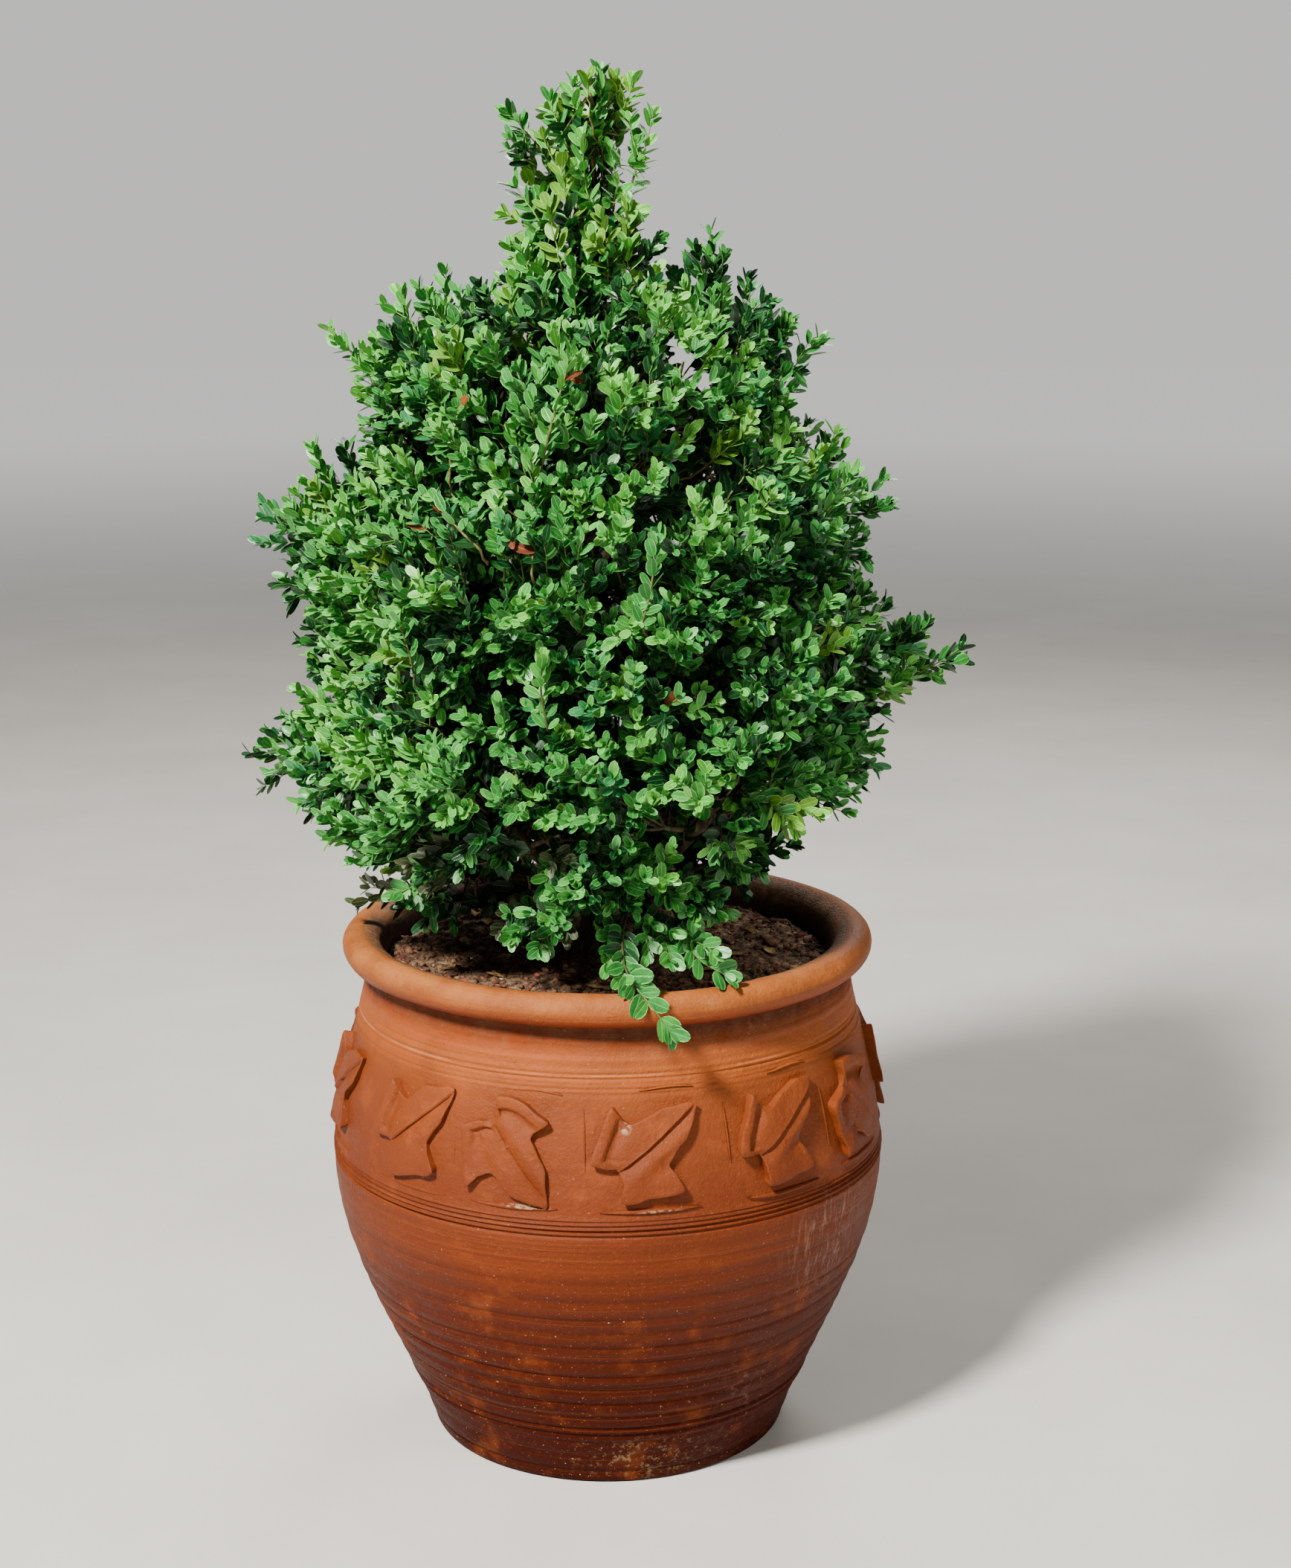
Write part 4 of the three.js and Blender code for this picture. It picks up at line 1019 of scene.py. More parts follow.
# the trunk's leader on up through the spire
t = np.linspace(0, 1, 30)
leader = trunk_line(1.0) + (np.array([-8.0, 0.0, 1128.0]) - trunk_line(1.0)) * t[:, None]
leader[:, 0] += 4 * np.sin(t * 5.0)
leader[:, 1] += 3 * np.sin(t * 4.0 + 1) - 3 * math.sin(1)
boughs.add(*(lambda v, q, tt: (v * MM, q, tt))(*bark_tube(leader, 5.0 - 3.6 * t, 12, 77, 0.06)))
BOUGH_END["spire_neck"] = (leader[:16], (5.0 - 3.6 * t)[:16])
BOUGH_END["spire_top"] = (leader[12:], (5.0 - 3.6 * t)[12:])
finish_piece(boughs.build("boughs_bark", BARK), "bark", *sorted(n for n in NODES if n.startswith("bough_")))

# ------------------------------------------------------------------ foliage: where it may grow
# The tips of each mass's longest sprays, mm, as the solids have them.
TIPS = {
    "shoulder_left": [(-128, -10, 996), (-166, -16, 980), (-227, -12, 949), (-206, 14, 905), (-160, -80, 955)],
    "shoulder_right": [(84, 0, 1027), (116, 12, 989), (136, -20, 970), (181, 6, 939), (60, -60, 985)],
    "shoulder_front": [(-40, -172, 958), (20, -196, 920), (-70, -190, 898)],
    "shoulder_back": [(24, 168, 972), (-52, 182, 930), (40, 206, 888)],
    "flank_left": [(-243, -6, 854), (-240, -30, 822), (-286, -4, 806), (-278, 12, 731), (-222, 90, 826)],
    "flank_front_left": [(-118, -226, 810), (-60, -252, 764), (-170, -196, 764)],
    "flank_front_right": [(66, -236, 834), (134, -214, 792), (40, -250, 730)],
    "flank_right": [(191, 0, 866), (234, -8, 827), (193, 10, 775), (196, -84, 838)],
    "flank_back_right": [(122, 214, 828), (60, 250, 770), (168, 192, 746)],
    "flank_back_left": [(-110, 216, 842), (-50, 252, 786), (-168, 200, 740)],
    "skirt_left": [(-251, 4, 678), (-261, -20, 652), (-279, 10, 622), (-309, 0, 591), (-255, 6, 534)],
    "skirt_front_left": [(-130, -246, 640), (-66, -258, 600), (-190, -184, 560)],
    "skirt_front_right": [(112, -238, 660), (60, -262, 612), (168, -190, 580)],
    "skirt_right": [(213, 6, 736), (272, -6, 706), (303, 0, 683), (257, 10, 643), (209, -14, 596), (232, 0, 573)],
    "skirt_back_right": [(126, 240, 652), (64, 262, 596), (186, 184, 566)],
    "skirt_back_left": [(-116, 246, 660), (-52, 258, 610), (-196, 182, 556)],
    "hem_left": [(-217, -12, 461), (-184, 20, 449), (-150, -116, 470)],
    "hem_back": [(-60, 216, 462), (66, 208, 470)],
    "hem_right": [(164, -6, 511), (124, 12, 481), (156, 10, 552)],
}
# The spire's own upright shoots, each from its foot on the leader to its bud, mm.
SPIRE = [
    [(1, 0, 1000), (-3, -5, 1082), (-4, -3, 1143)], [(-8, -6, 1030), (-21, -14, 1090), (-25, -12, 1132)],
    [(2, 4, 1060), (6, 6, 1092), (13, 6, 1112), (22, 5, 1134)], [(-14, 4, 1010), (-36, 6, 1062), (-74, 6, 1111)],
    [(-10, -12, 1050), (-31, -22, 1090), (-43, -20, 1121)], [(5, 0, 1008), (20, -4, 1052), (30, -6, 1083), (37, -8, 1108)],
    [(-20, -6, 985), (-46, -16, 1020), (-70, -12, 1054)], [(-24, 0, 940), (-54, -12, 974), (-76, -10, 1005)],
    [(-4, 10, 1020), (-14, 28, 1064), (-18, 36, 1098)], [(-12, 14, 1000), (-34, 36, 1036), (-40, 46, 1074)],
    [(0, 14, 985), (4, 30, 1025), (4, 38, 1056)], [(-2, -10, 1000), (-13, -30, 1046), (-18, -36, 1090)],
    [(-20, -12, 962), (-35, -44, 996), (-44, -52, 1038)], [(6, 0, 954), (14, -18, 996), (17, -26, 1036)],
    [(4, -10, 928), (14, -30, 966), (18, -38, 1006)], [(0, 20, 950), (14, 42, 986), (16, 50, 1022)],
    [(-30, 16, 940), (-56, 28, 972), (-68, 32, 1006)], [(-10, 8, 1010), (-42, 20, 1042), (-60, 20, 1076)],
    [(0, -16, 955), (2, -44, 990), (-2, -52, 1030)], [(0, 10, 1030), (1, 18, 1070), (1, 20, 1100)],
    [(-18, -18, 940), (-50, -40, 968), (-66, -44, 1004)], [(-14, -10, 990), (-30, -34, 1030), (-34, -38, 1070)],
    [(-24, 4, 990), (-50, 8, 1024), (-60, 6, 1064)], [(-6, -14, 915), (-22, -54, 950), (-26, -60, 992)],
    [(-4, -4, 1080), (-12, -16, 1110), (-14, -16, 1136)], [(-4, 2, 1085), (6, 12, 1112), (8, 12, 1136)],
    [(-20, -8, 905), (-60, -48, 930), (-76, -52, 968)], [(10, -6, 905), (38, -34, 926), (42, -38, 950)],
    [(-10, 8, 1060), (-30, 12, 1092), (-34, 10, 1118)], [(6, -4, 985), (15, -14, 1010), (20, -16, 1034)],
    [(-24, 0, 930), (-48, -18, 975), (-52, -20, 1018)], [(-16, -6, 960), (-40, -10, 1005), (-50, -8, 1046)],
    [(-30, -4, 930), (-66, -22, 962), (-72, -24, 990)], [(-8, -14, 935), (-14, -40, 980), (-12, -44, 1016)],
    [(-6, -8, 985), (-20, -22, 1030), (-24, -26, 1066)], [(4, -6, 1010), (8, -16, 1050), (6, -18, 1082)],
    [(-14, -6, 1040), (-36, -12, 1066), (-48, -14, 1092)], [(-2, 6, 1060), (-2, 8, 1092), (-2, 8, 1120)],
]
# Sprays low on the shrub that hang towards and over the rim, mm.
DRAPES = [
    ([(20, -120, 496), (12, -176, 482), (14, -214, 463), (26, -228, 448.5), (35, -237, 439.5), (48, -243, 423)], 19.5, "mid", 0),
    ([(16, -128, 496), (8, -180, 478), (12, -218, 457)], 15.5, "mid", 0),
    ([(40, -110, 508), (56, -150, 486), (70, -176, 463), (92, -190, 452)], 18.5, "mid", 1),
    ([(40, -110, 500), (62, -144, 484), (72, -166, 469)], 16.0, "bright", 1),
    ([(30, -115, 500), (44, -160, 478), (50, -184, 463)], 15.5, "mid", 1),
    ([(45, -95, 515), (72, -122, 503), (94, -138, 490)], 17, "mid", 2),
    ([(20, -110, 528), (36, -144, 516), (50, -164, 506)], 17, "mid", 1),
    ([(6, -110, 503), (4, -160, 484), (0, -204, 466)], 17, "mid", 2),
    ([(24, -112, 506), (30, -152, 488), (32, -182, 470)], 16.0, "mid", 1),
    ([(56, -108, 516), (66, -140, 504), (70, -164, 492)], 17, "mid", 2),
    ([(-46, -84, 508), (-60, -126, 486), (-77, -150, 472)], 16.5, "mid", 1),
    ([(-40, -90, 500), (-48, -130, 478), (-54, -158, 465)], 16.5, "mid", 1),
    ([(-26, -112, 556), (-40, -146, 536), (-50, -162, 516)], 17, "mid", 2),
    ([(-6, -110, 560), (-12, -148, 548), (-18, -166, 532)], 17, "deep", 2),
    ([(-104, -80, 530), (-138, -106, 512), (-168, -122, 501)], 16.5, "mid", 1),
    ([(-96, -76, 548), (-122, -102, 532), (-142, -122, 520)], 16.5, "cool", 1),
    ([(70, -80, 540), (92, -100, 528), (108, -110, 518)], 17, "mid", 2),
    ([(8, -100, 505), (4, -140, 488), (2, -170, 474)], 15, "old", 1),
    ([(-60, -80, 500), (-74, -112, 484), (-84, -134, 474)], 15, "old", 1),
    ([(-20, -90, 505), (-30, -125, 490), (-34, -150, 476)], 15, "old", 1),
]
# Stems that show at the front of the crown, as x and z where the viewer's line meets the plane y = 0, mm.
STEMS = [
    ([(-62, 742), (-59, 792), (-62, 836)], "bright"), ([(-104, 762), (-125, 783), (-140, 806)], "mid"),
    ([(-50, 612), (-55, 643), (-54, 668)], "bright"), ([(-57, 812), (-44, 868), (-28, 921)], "bright"),
    ([(-129, 818), (-127, 848), (-122, 878)], "mid"), ([(30, 700), (38, 735), (40, 764)], "mid"), ([(-158, 640), (-164, 672), (-172, 700)], "mid"),
]

PLANT = {}
for name, c in MASSES:
    mesh = NODES[name].data
    v = np.zeros(len(mesh.vertices) * 3, np.float32)
    mesh.vertices.foreach_get("co", v)
    v = v.reshape(-1, 3).astype(float) * 1000
    mesh.calc_loop_triangles()
    f = np.zeros(len(mesh.loop_triangles) * 3, np.int32)
    mesh.loop_triangles.foreach_get("vertices", f)
    f = f.reshape(-1, 3)
    PLANT[name] = (v, f)
solid = {name: BVHTree.FromPolygons([tuple(p) for p in v], [tuple(int(a) for a in q) for q in f]) for name, (v, f) in PLANT.items()}


def blocked(name, p, d, reach):
    """Distance from p along d to another mass, or a large number."""
    best = 1e9
    for other, tree in solid.items():
        if other == name:
            continue
        hit = tree.ray_cast(Vector(p), Vector(d), reach)
        if hit[0] is not None and hit[3] < best:
            best = hit[3]
    return best


# How far the crown reaches from its axis, by direction and height, with the clefts between masses closed.
AXIS_X = -10.0
ALL = BVHTree.FromPolygons(
    [tuple(p) for name, _ in MASSES for p in PLANT[name][0]],
    [tuple(int(a) + o for a in q) for (name, _), o in zip(MASSES, np.cumsum([0] + [len(PLANT[n][0]) for n, _ in MASSES])) for q in PLANT[name][1]],
)
TH = np.arange(0, 360, 5.0)
ZS = np.arange(445, 1160, 10.0)
REACH = np.zeros((len(ZS), len(TH)))
for iz, zz in enumerate(ZS):
    for it, th in enumerate(TH):
        d = Vector((math.cos(math.radians(th)), math.sin(math.radians(th)), 0))
        hit = ALL.ray_cast(Vector((AXIS_X, 0, zz)) + d * 500, -d, 500)
        if hit[0] is not None:
            REACH[iz, it] = 500 - hit[3]


def closed(m, kz, kt):
    """Clefts narrower than the window are filled to their edges; nothing else changes."""
    def sweep(a, take):
        a = take(np.stack([np.roll(a, k, 1) for k in range(-kt, kt + 1)]), axis=0)
        pad = np.pad(a, ((kz, kz), (0, 0)), mode="edge")
        return take(np.stack([pad[k : k + len(a)] for k in range(2 * kz + 1)]), axis=0)
    return sweep(sweep(m, np.max), np.min)


FULL = closed(REACH, 3, 4)


def reach_at(x, y, z, table=None):
    table = FULL if table is None else table
    th = math.degrees(math.atan2(y, x - AXIS_X)) % 360
    i = min(max((z - ZS[0]) / 10.0, 0), len(ZS) - 1.001)
    j = th / 5.0
    i0, j0 = int(i), int(j)
    a, b = i - i0, j - j0
    j1, j0 = (j0 + 1) % len(TH), j0 % len(TH)
    return (table[i0, j0] * (1 - a) + table[i0 + 1, j0] * a) * (1 - b) + (table[i0, j1] * (1 - a) + table[i0 + 1, j1] * a) * b


def inside_pot(p, grow=2.0):
    """Whether points (n, 3) in mm are in the pot's wall, the rim or the soil."""
    p = np.atleast_2d(p)
    r = np.hypot(p[:, 0], p[:, 1])
    z = p[:, 2]
    in_soil = (r < 192) & (z < 419 + grow)
    in_rim = np.hypot(r - RIM_R, z - RIM_Z) < ROLL + grow
    in_wall = (z < 425) & (r > 184 - grow) & (r < wall_radius(z) + grow)
    lip = (r > 188 - grow) & (r < 206) & (z < 440 + grow) & (z > 400)
    return in_soil | in_rim | in_wall | lip


def arc(p0, p1, p2, n):
    t = np.linspace(0, 1, n)[:, None]
    return (1 - t) ** 2 * p0 + 2 * t * (1 - t) * p1 + t * t * p2


def through(points, n):
    """n points on a smooth curve through a few."""
    p = np.asarray(points, float)
    p = np.concatenate([2 * p[:1] - p[1:2], p, 2 * p[-1:] - p[-2:-1]])
    out = []
    for s in np.linspace(0, len(p) - 3 - 1e-6, n):
        i = int(s)
        t = s - i
        a, b, c, d = p[i : i + 4]
        out.append(0.5 * (2 * b + (c - a) * t + (2 * a - 5 * b + 4 * c - d) * t * t + (3 * b - a - 3 * c + d) * t**3))
    return np.array(out)


TONES = ("fresh", "bright", "mid", "cool", "deep", "olive", "old", "dead")
LIGHTER = {"deep": "mid", "mid": "bright", "cool": "bright", "bright": "fresh", "olive": "fresh", "fresh": "fresh", "dead": "dead", "old": "old"}
DARKER = {"fresh": "bright", "bright": "mid", "mid": "deep", "cool": "deep", "olive": "mid", "deep": "deep", "dead": "dead", "old": "old"}
leaf = {k: [] for k in ("at", "along", "normal", "length", "width", "fold", "droop", "tone", "detail")}
tan_twigs, green_twigs = Soup(), Soup()
LIT = unit(np.array([-0.35, -0.45, 0.82]))  # the side of the sky that leaves turn to
EYE = np.array([0.0, -2193.27, 1053.91])


def line_of_sight(x, z):
    """The viewer's line through a point of the plane y = 0."""
    return unit(np.array([x, 0.0, z]) - EYE)


# Openings where the photograph shows the background through the crown: x and z in the plane y = 0, half width, half height, mm.
OPENINGS = [(57, 927, 7, 14), (69, 914, 8, 14), (82, 899, 7, 9), (-12, 930, 5, 7), (-34, 1040, 4, 9), (17, 1078, 6, 20), (9, 1044, 4, 10), (-52, 1076, 5, 9)]


def in_opening(p, grow=0.0):
    """Whether points (n, 3) lie on a line of sight through one of the openings."""
    p = np.atleast_2d(p)
    d = p - EYE
    t = (0 - EYE[1]) / d[:, 1]
    x, z = EYE[0] + d[:, 0] * t, EYE[2] + d[:, 2] * t
    out = np.zeros(len(p), bool)
    for ox, oz, w, h in OPENINGS:
        out |= ((x - ox) / (w + grow)) ** 2 + ((z - oz) / (h + grow)) ** 2 < 1
    return out



def twig(soup, points, radii, sides):
    if in_opening(points).mean() > 0.3:
        return
    v, q, t = tube(points, radii, sides, False)
    soup.add(v * MM, q)


def put_leaf(at, along, normal, length, ratio, fold, droop, tone, detail):
    leaf["at"].append(at)
    leaf["along"].append(along)
    leaf["normal"].append(normal)
    leaf["length"].append(length)
    leaf["width"].append(length * ratio)
    leaf["fold"].append(fold)
    leaf["droop"].append(droop)
    leaf["tone"].append(tone)
    leaf["detail"].append(detail)


def frame_of(t):
    ref = np.array([0, 0, 1.0]) if abs(t[2]) < 0.9 else np.array([1.0, 0, 0])
    e1 = unit(np.cross(t, ref))
    return e1, np.cross(t, e1)


def dress(points, tone, own, s0, spacing, size, tip_size, open_angle, light, flatness, detail=1, face=0.3, broad=0.0):
    """Pairs of leaves along a twig, each pair turned a quarter from the last, closing to a rosette at the tip."""
    points = np.asarray(points)
    seg = np.linalg.norm(np.diff(points, axis=0), axis=1)
    along = np.concatenate([[0], np.cumsum(seg)])
    total = along[-1]
    tangents = unit(np.gradient(points, axis=0))
    s = total * s0
    spin = own.uniform(0, np.pi)
    k = 0
    while s < total - 2.5:
        f = s / total
        p = np.array([np.interp(s, along, points[:, j]) for j in range(3)])
        t = unit(np.array([np.interp(s, along, tangents[:, j]) for j in range(3)]))
        e1, e2 = frame_of(t)
        a0 = spin + (k % 2) * np.pi / 2 + own.normal(0, 0.16)
        near_tip = np.clip((f - 0.6) / 0.4, 0, 1)
        for side in (0, np.pi):
            if own.uniform() < 0.06 + 0.18 * (f < 0.4):
                continue
            a = a0 + side + own.normal(0, 0.12)
            # on level twigs the leaves turn into the plane that faces the light
            out = unit(e1 * math.cos(a) + e2 * math.sin(a) * (1 - flatness * (1 - abs(t[2]))))
            g = unit(light - t * (light @ t))
            out = unit(out - g * (out @ g) * face)
            phi = math.radians(open_angle + 20 * near_tip + own.normal(0, 9))
            d = unit(out * math.cos(phi) + t * math.sin(phi))
            nrm = t - d * (t @ d)
            g = light - d * (light @ d)
            nrm = unit(unit(nrm) * (0.78 - 0.6 * face) + unit(g) * (0.34 + 0.5 * face) + own.normal(0, 0.27 - 0.22 * face, 3))
            nrm = unit(nrm - d * (nrm @ d))
            L = (size + (tip_size - size) * near_tip) * own.uniform(0.80, 1.14)
            tn = tone
            if f > 0.78 and own.uniform() < 0.42:
                tn = LIGHTER[tone]
            elif f < 0.5 and own.uniform() < 0.6:
                tn = DARKER[tone]
            put_leaf(p + d * 0.5, d, nrm, L, own.uniform(0.42, 0.55) + broad, own.uniform(-0.10, 0.26), own.uniform(-0.05, 0.15), tn, detail)
        s += spacing * (1.0 - (0.3 if face < 0.5 else 0.4) * near_tip) * own.uniform(0.82, 1.18)
        k += 1
    p, t = points[-1], tangents[-1]
    e1, e2 = frame_of(t)
    for j in range(4):
        a = spin + j * np.pi / 2 + (k % 2) * np.pi / 2 + own.normal(0, 0.25)
        phi = math.radians((50 if j % 2 else 68) + own.normal(0, 8))
        d = unit((e1 * math.cos(a) + e2 * math.sin(a)) * math.cos(phi) + t * math.sin(phi))
        nrm = unit(t - d * (t @ d)) * (0.8 - 0.6 * face) + light * (0.3 + 0.5 * face) + own.normal(0, 0.12, 3)
        nrm = unit(nrm - d * (nrm @ d))
        tn = LIGHTER[tone] if own.uniform() < 0.5 else tone
        L = tip_size * (own.uniform(0.86, 1.1) if j % 2 else own.uniform(0.6, 0.85))
        put_leaf(p, d, nrm, L, own.uniform(0.40, 0.52) + broad, own.uniform(0.05, 0.35), own.uniform(-0.05, 0.1), tn, detail)


def shoot(points, tone, own, size, light, radii=(1.1, 0.45), first=0.35, shoots=2, flatness=0.55, spacing=8.2, keen=1.0, detail=1, face=0.3, broad=0.0, opening=46, tip=0.82):
    """A leafy shoot along points, with side shoots that fork from it."""
    pts = np.asarray(points)
    radii = np.linspace(radii[0], radii[1], len(pts))
    cut = max(3, int(len(pts) * 0.6))
    twig(tan_twigs, pts[:cut], radii[:cut], 4)
    twig(green_twigs, pts[cut - 1 :], radii[cut - 1 :], 3)
    dress(pts, tone, own, first, spacing, size, size * tip, opening, light, flatness, detail, face, broad)
    length = np.linalg.norm(np.diff(pts, axis=0), axis=1).sum()
    for j in range(shoots):
        f = own.uniform(0.38, 0.78)
        k = f * (len(pts) - 1)
        k0 = int(k)
        p = pts[k0] + (pts[min(k0 + 1, len(pts) - 1)] - pts[k0]) * (k - k0)
        t = unit(pts[min(k0 + 1, len(pts) - 1)] - pts[max(k0 - 1, 0)])
        sideways = unit(np.cross(t, own.normal(0, 1, 3)))
        if own.uniform() < 0.65 and sideways @ light < 0:
            sideways = -sideways
        d = unit(t * 0.75 + sideways * own.uniform(0.5, 0.85))
        L = max(20.0, length * (1 - f) * own.uniform(0.7, 1.0)) * keen
        q = arc(p, p + d * L * 0.5, p + d * L * 0.86 + t * L * 0.22, 4 if detail < 2 else 6)
        if inside_pot(q, 1.0).any():
            continue
        twig(green_twigs, q, np.linspace(0.66, 0.4, len(q)), 3)
        dress(q, tone, own, 0.25, spacing * 0.9, size * 0.92, size * (tip - 0.06), opening, light, flatness, detail, face, broad)


def pick_tone(own, high, left, inner):
    roll = own.uniform()
    # painted shade: sprays deep in a cleft mostly take the darkest tone
    if inner:
        return "deep" if roll < 0.72 else "mid"
    # painted light: sprays high up and on the left, the side the key lamp lights, more often take the paler tones
    lift = 0.03 * high + 0.06 * left
    if roll < 0.045 + lift:
        return "fresh"
    if roll < 0.22 + 2 * lift:
        return "bright"
    if roll < 0.58 + lift:
        return "mid"
    if roll < 0.73:
        return "cool"
    return "deep" if roll < 0.975 else "olive"


limb_points = {name: [] for name, _ in MASSES}


def grow_mass(index):
    name, centre = MASSES[index]
    own = np.random.default_rng(500 + index)
    v, f = PLANT[name]
    centre = np.array(centre, float)
    limb, limb_r = BOUGH_END[name]
    spire, hem = name.startswith("spire"), name.startswith("hem")
    a, b, c = v[f[:, 0]], v[f[:, 1]], v[f[:, 2]]
    cross = np.cross(b - a, c - a)
    size = np.linalg.norm(cross, axis=1) / 2
    face_n = unit(cross)
    pick = own.choice(len(f), 3000, p=size / size.sum())
    w = own.dirichlet((1, 1, 1), len(pick))
    pts = a[pick] * w[:, :1] + b[pick] * w[:, 1:2] + c[pick] * w[:, 2:]
    nrm = face_n[pick]
    todo = [(np.array(t, float), unit(np.array(t, float) - centre), True) for t in TIPS.get(name, [])]
    chosen = [t[0] for t in todo]
    for p, n_ in zip(pts, nrm):
        gap = 23.6 * own.uniform(0.85, 1.2)
        if chosen and np.min(np.linalg.norm(np.array(chosen) - p, axis=1)) < gap:
            continue
        chosen.append(p)
        todo.append((p, n_, False))
    made = 0
    for p, n_, is_tip in todo:
        radial = unit(np.array([p[0] + 8, p[1], 0.0]))
        outward = unit(0.5 * unit(p - centre) + 0.5 * n_)
        high = np.clip((p[2] - 470) / 480, 0, 1)
        left = 1.0 if p[0] < -60 else 0.0
        gap = blocked(name, p + outward * 1.5, outward, 110.0)
        inner = False
        if not is_tip:
            depth_in = reach_at(p[0], p[1], p[2]) - math.hypot(p[0] - AXIS_X, p[1])
            if gap < 110:
                if depth_in > 70:
                    continue
                inner = depth_in > 30
                if own.uniform() < (0.75 if gap < 25 else 0.35):
                    continue
                outward = radial
            if hem and own.uniform() < 0.7:
                continue
            if n_[2] < -0.35 and p[2] < 600 and own.uniform() < 0.82:
                continue
            if spire and own.uniform() < 0.5:
                continue
            if p[2] < 500 and (p[1] < 40 or p[2] < 478):
                continue
        clump = float(value_noise(p[None] / 46, 61)[0])
        if not is_tip and clump < -0.42:
            continue
        if spire:
            rise = 1.8
        else:
            rise = -0.06 + 1.75 * high**1.15
        d = unit((0.75 - 0.25 * high) * outward + 0.35 * radial + np.array([0, 0, rise]) * 0.8 + own.normal(0, 0.22, 3))
        if outward @ d < 0.1:
            d = unit(d + outward * 0.6)
        length = own.uniform(66, 100)
        depth = own.choice([2.0, 14.0, 30.0, 46.0], p=[0.30, 0.34, 0.22, 0.14]) + own.uniform(0, 8) + 26 * max(0.0, -clump)
        if is_tip:
            d = unit(0.85 * outward + 0.35 * np.array([0, 0, rise]) + own.normal(0, 0.05, 3))
            length, depth = own.uniform(88, 112), 0.0
            tip = p - d * 10
        else:
            tip = p - outward * depth - d * 6
        near = limb[np.argmin(np.linalg.norm(limb - tip, axis=1))]
        root = tip - d * length * 0.82
        root = root + (near - root) * 0.2
        if np.linalg.norm(tip - near) < length * 0.7:
            root = near
        light = unit(LIT * 0.75 + 0.55 * radial)
        tone = pick_tone(own, high, left, inner)
        # painted shade: sprays low down, under the crown, are often a tone darker
        if p[2] < 560 and own.uniform() < 0.4:
            tone = DARKER[tone]
        if p[2] < 540 and own.uniform() < 0.22:
            tone = "old"
        ctrl = tip - d * length * 0.5
        path = arc(root, ctrl, tip, 7)
        wob = own.normal(0, 0.9, path.shape)
        wob[0] = wob[-1] = 0
        path = path + wob
        if inside_pot(path[2:], 1.5).any():
            continue
        shoots = 0 if inner else (1 if own.uniform() < 0.45 else 2)
        shoot(path, tone, own, own.uniform(15.6, 19.0) + 1.2 * (1 - high), light, (1.2, 0.45), 0.42 if not inner else 0.5, shoots)
        made += 1
        limb_points[name].append(root)
    # thin growth further in, in the darkest tone: painted shade inside the crown
    extent = np.percentile(np.linalg.norm(v - centre, axis=1), 50)
    for _ in range(3 if hem or spire else 15):
        d = unit(own.normal(0, 1, 3) + unit(np.array([centre[0], centre[1], 0.0])) * 0.8)
        tip = centre + d * extent * own.uniform(0.45, 0.8)
        near = limb[-1]
        path = arc(near, (near + tip) / 2 + own.normal(0, 8, 3), tip, 6)
        if inside_pot(path[1:], 2).any():
            continue
        twig(tan_twigs, path, np.linspace(1.3, 0.5, 6), 3)
        dress(path, "deep", own, 0.4, 9.5, 20, 16, 38, LIT, 0.4, 0)
        made += 1
    return made


def near_limb(p):
    """The mass whose limb passes nearest under a point, and the point on that limb."""
    best = None
    for name, (pts, r) in BOUGH_END.items():
        d = np.linalg.norm(pts - p, axis=1) + 0.5 * np.maximum(0, pts[:, 2] - p[2])
        k = int(np.argmin(d))
        if best is None or d[k] < best[0]:
            best = (d[k], name, pts[k])
    return best[1], best[2]


def fill_clefts():
    """Shoots that grow out between the masses, so that the crown closes there as the real one does."""
    own = np.random.default_rng(777)
    made, placed = 0, []
    for _ in range(9000):
        th, z = own.uniform(0, 360), own.uniform(492, 1040)
        x, y = math.cos(math.radians(th)), math.sin(math.radians(th))
        full = reach_at(AXIS_X + x, y, z)
        bare = reach_at(AXIS_X + x, y, z, REACH)
        if full - bare < 16 or full < 60:
            continue
        r = full - own.uniform(6, 34)
        tip = np.array([AXIS_X + x * r, y * r, z])
        if placed and np.min(np.linalg.norm(np.array(placed) - tip, axis=1)) < 23:
            continue
        placed.append(tip)
        high = np.clip((z - 470) / 480, 0, 1)
        radial = np.array([x, y, 0.0])
        d = unit(radial + np.array([0, 0, 0.02 + 1.35 * high]) * 0.8 + own.normal(0, 0.25, 3))
        name, near = near_limb(tip)
        length = own.uniform(66, 96)
        root = tip - d * length * 0.82
        root = root + (near - root) * 0.25
        path = arc(root, tip - d * length * 0.5, tip, 7)
        path[1:-1] += own.normal(0, 0.9, path[1:-1].shape)
        if inside_pot(path[2:], 1.5).any():
            continue
        shoot(path, pick_tone(own, high, x < -0.3, False), own, own.uniform(15.6, 19.0), unit(LIT * 0.75 + 0.55 * radial), (1.2, 0.45), 0.42, 1 + int(own.uniform() < 0.4))
        limb_points[name].append(root)
        made += 1
    return made


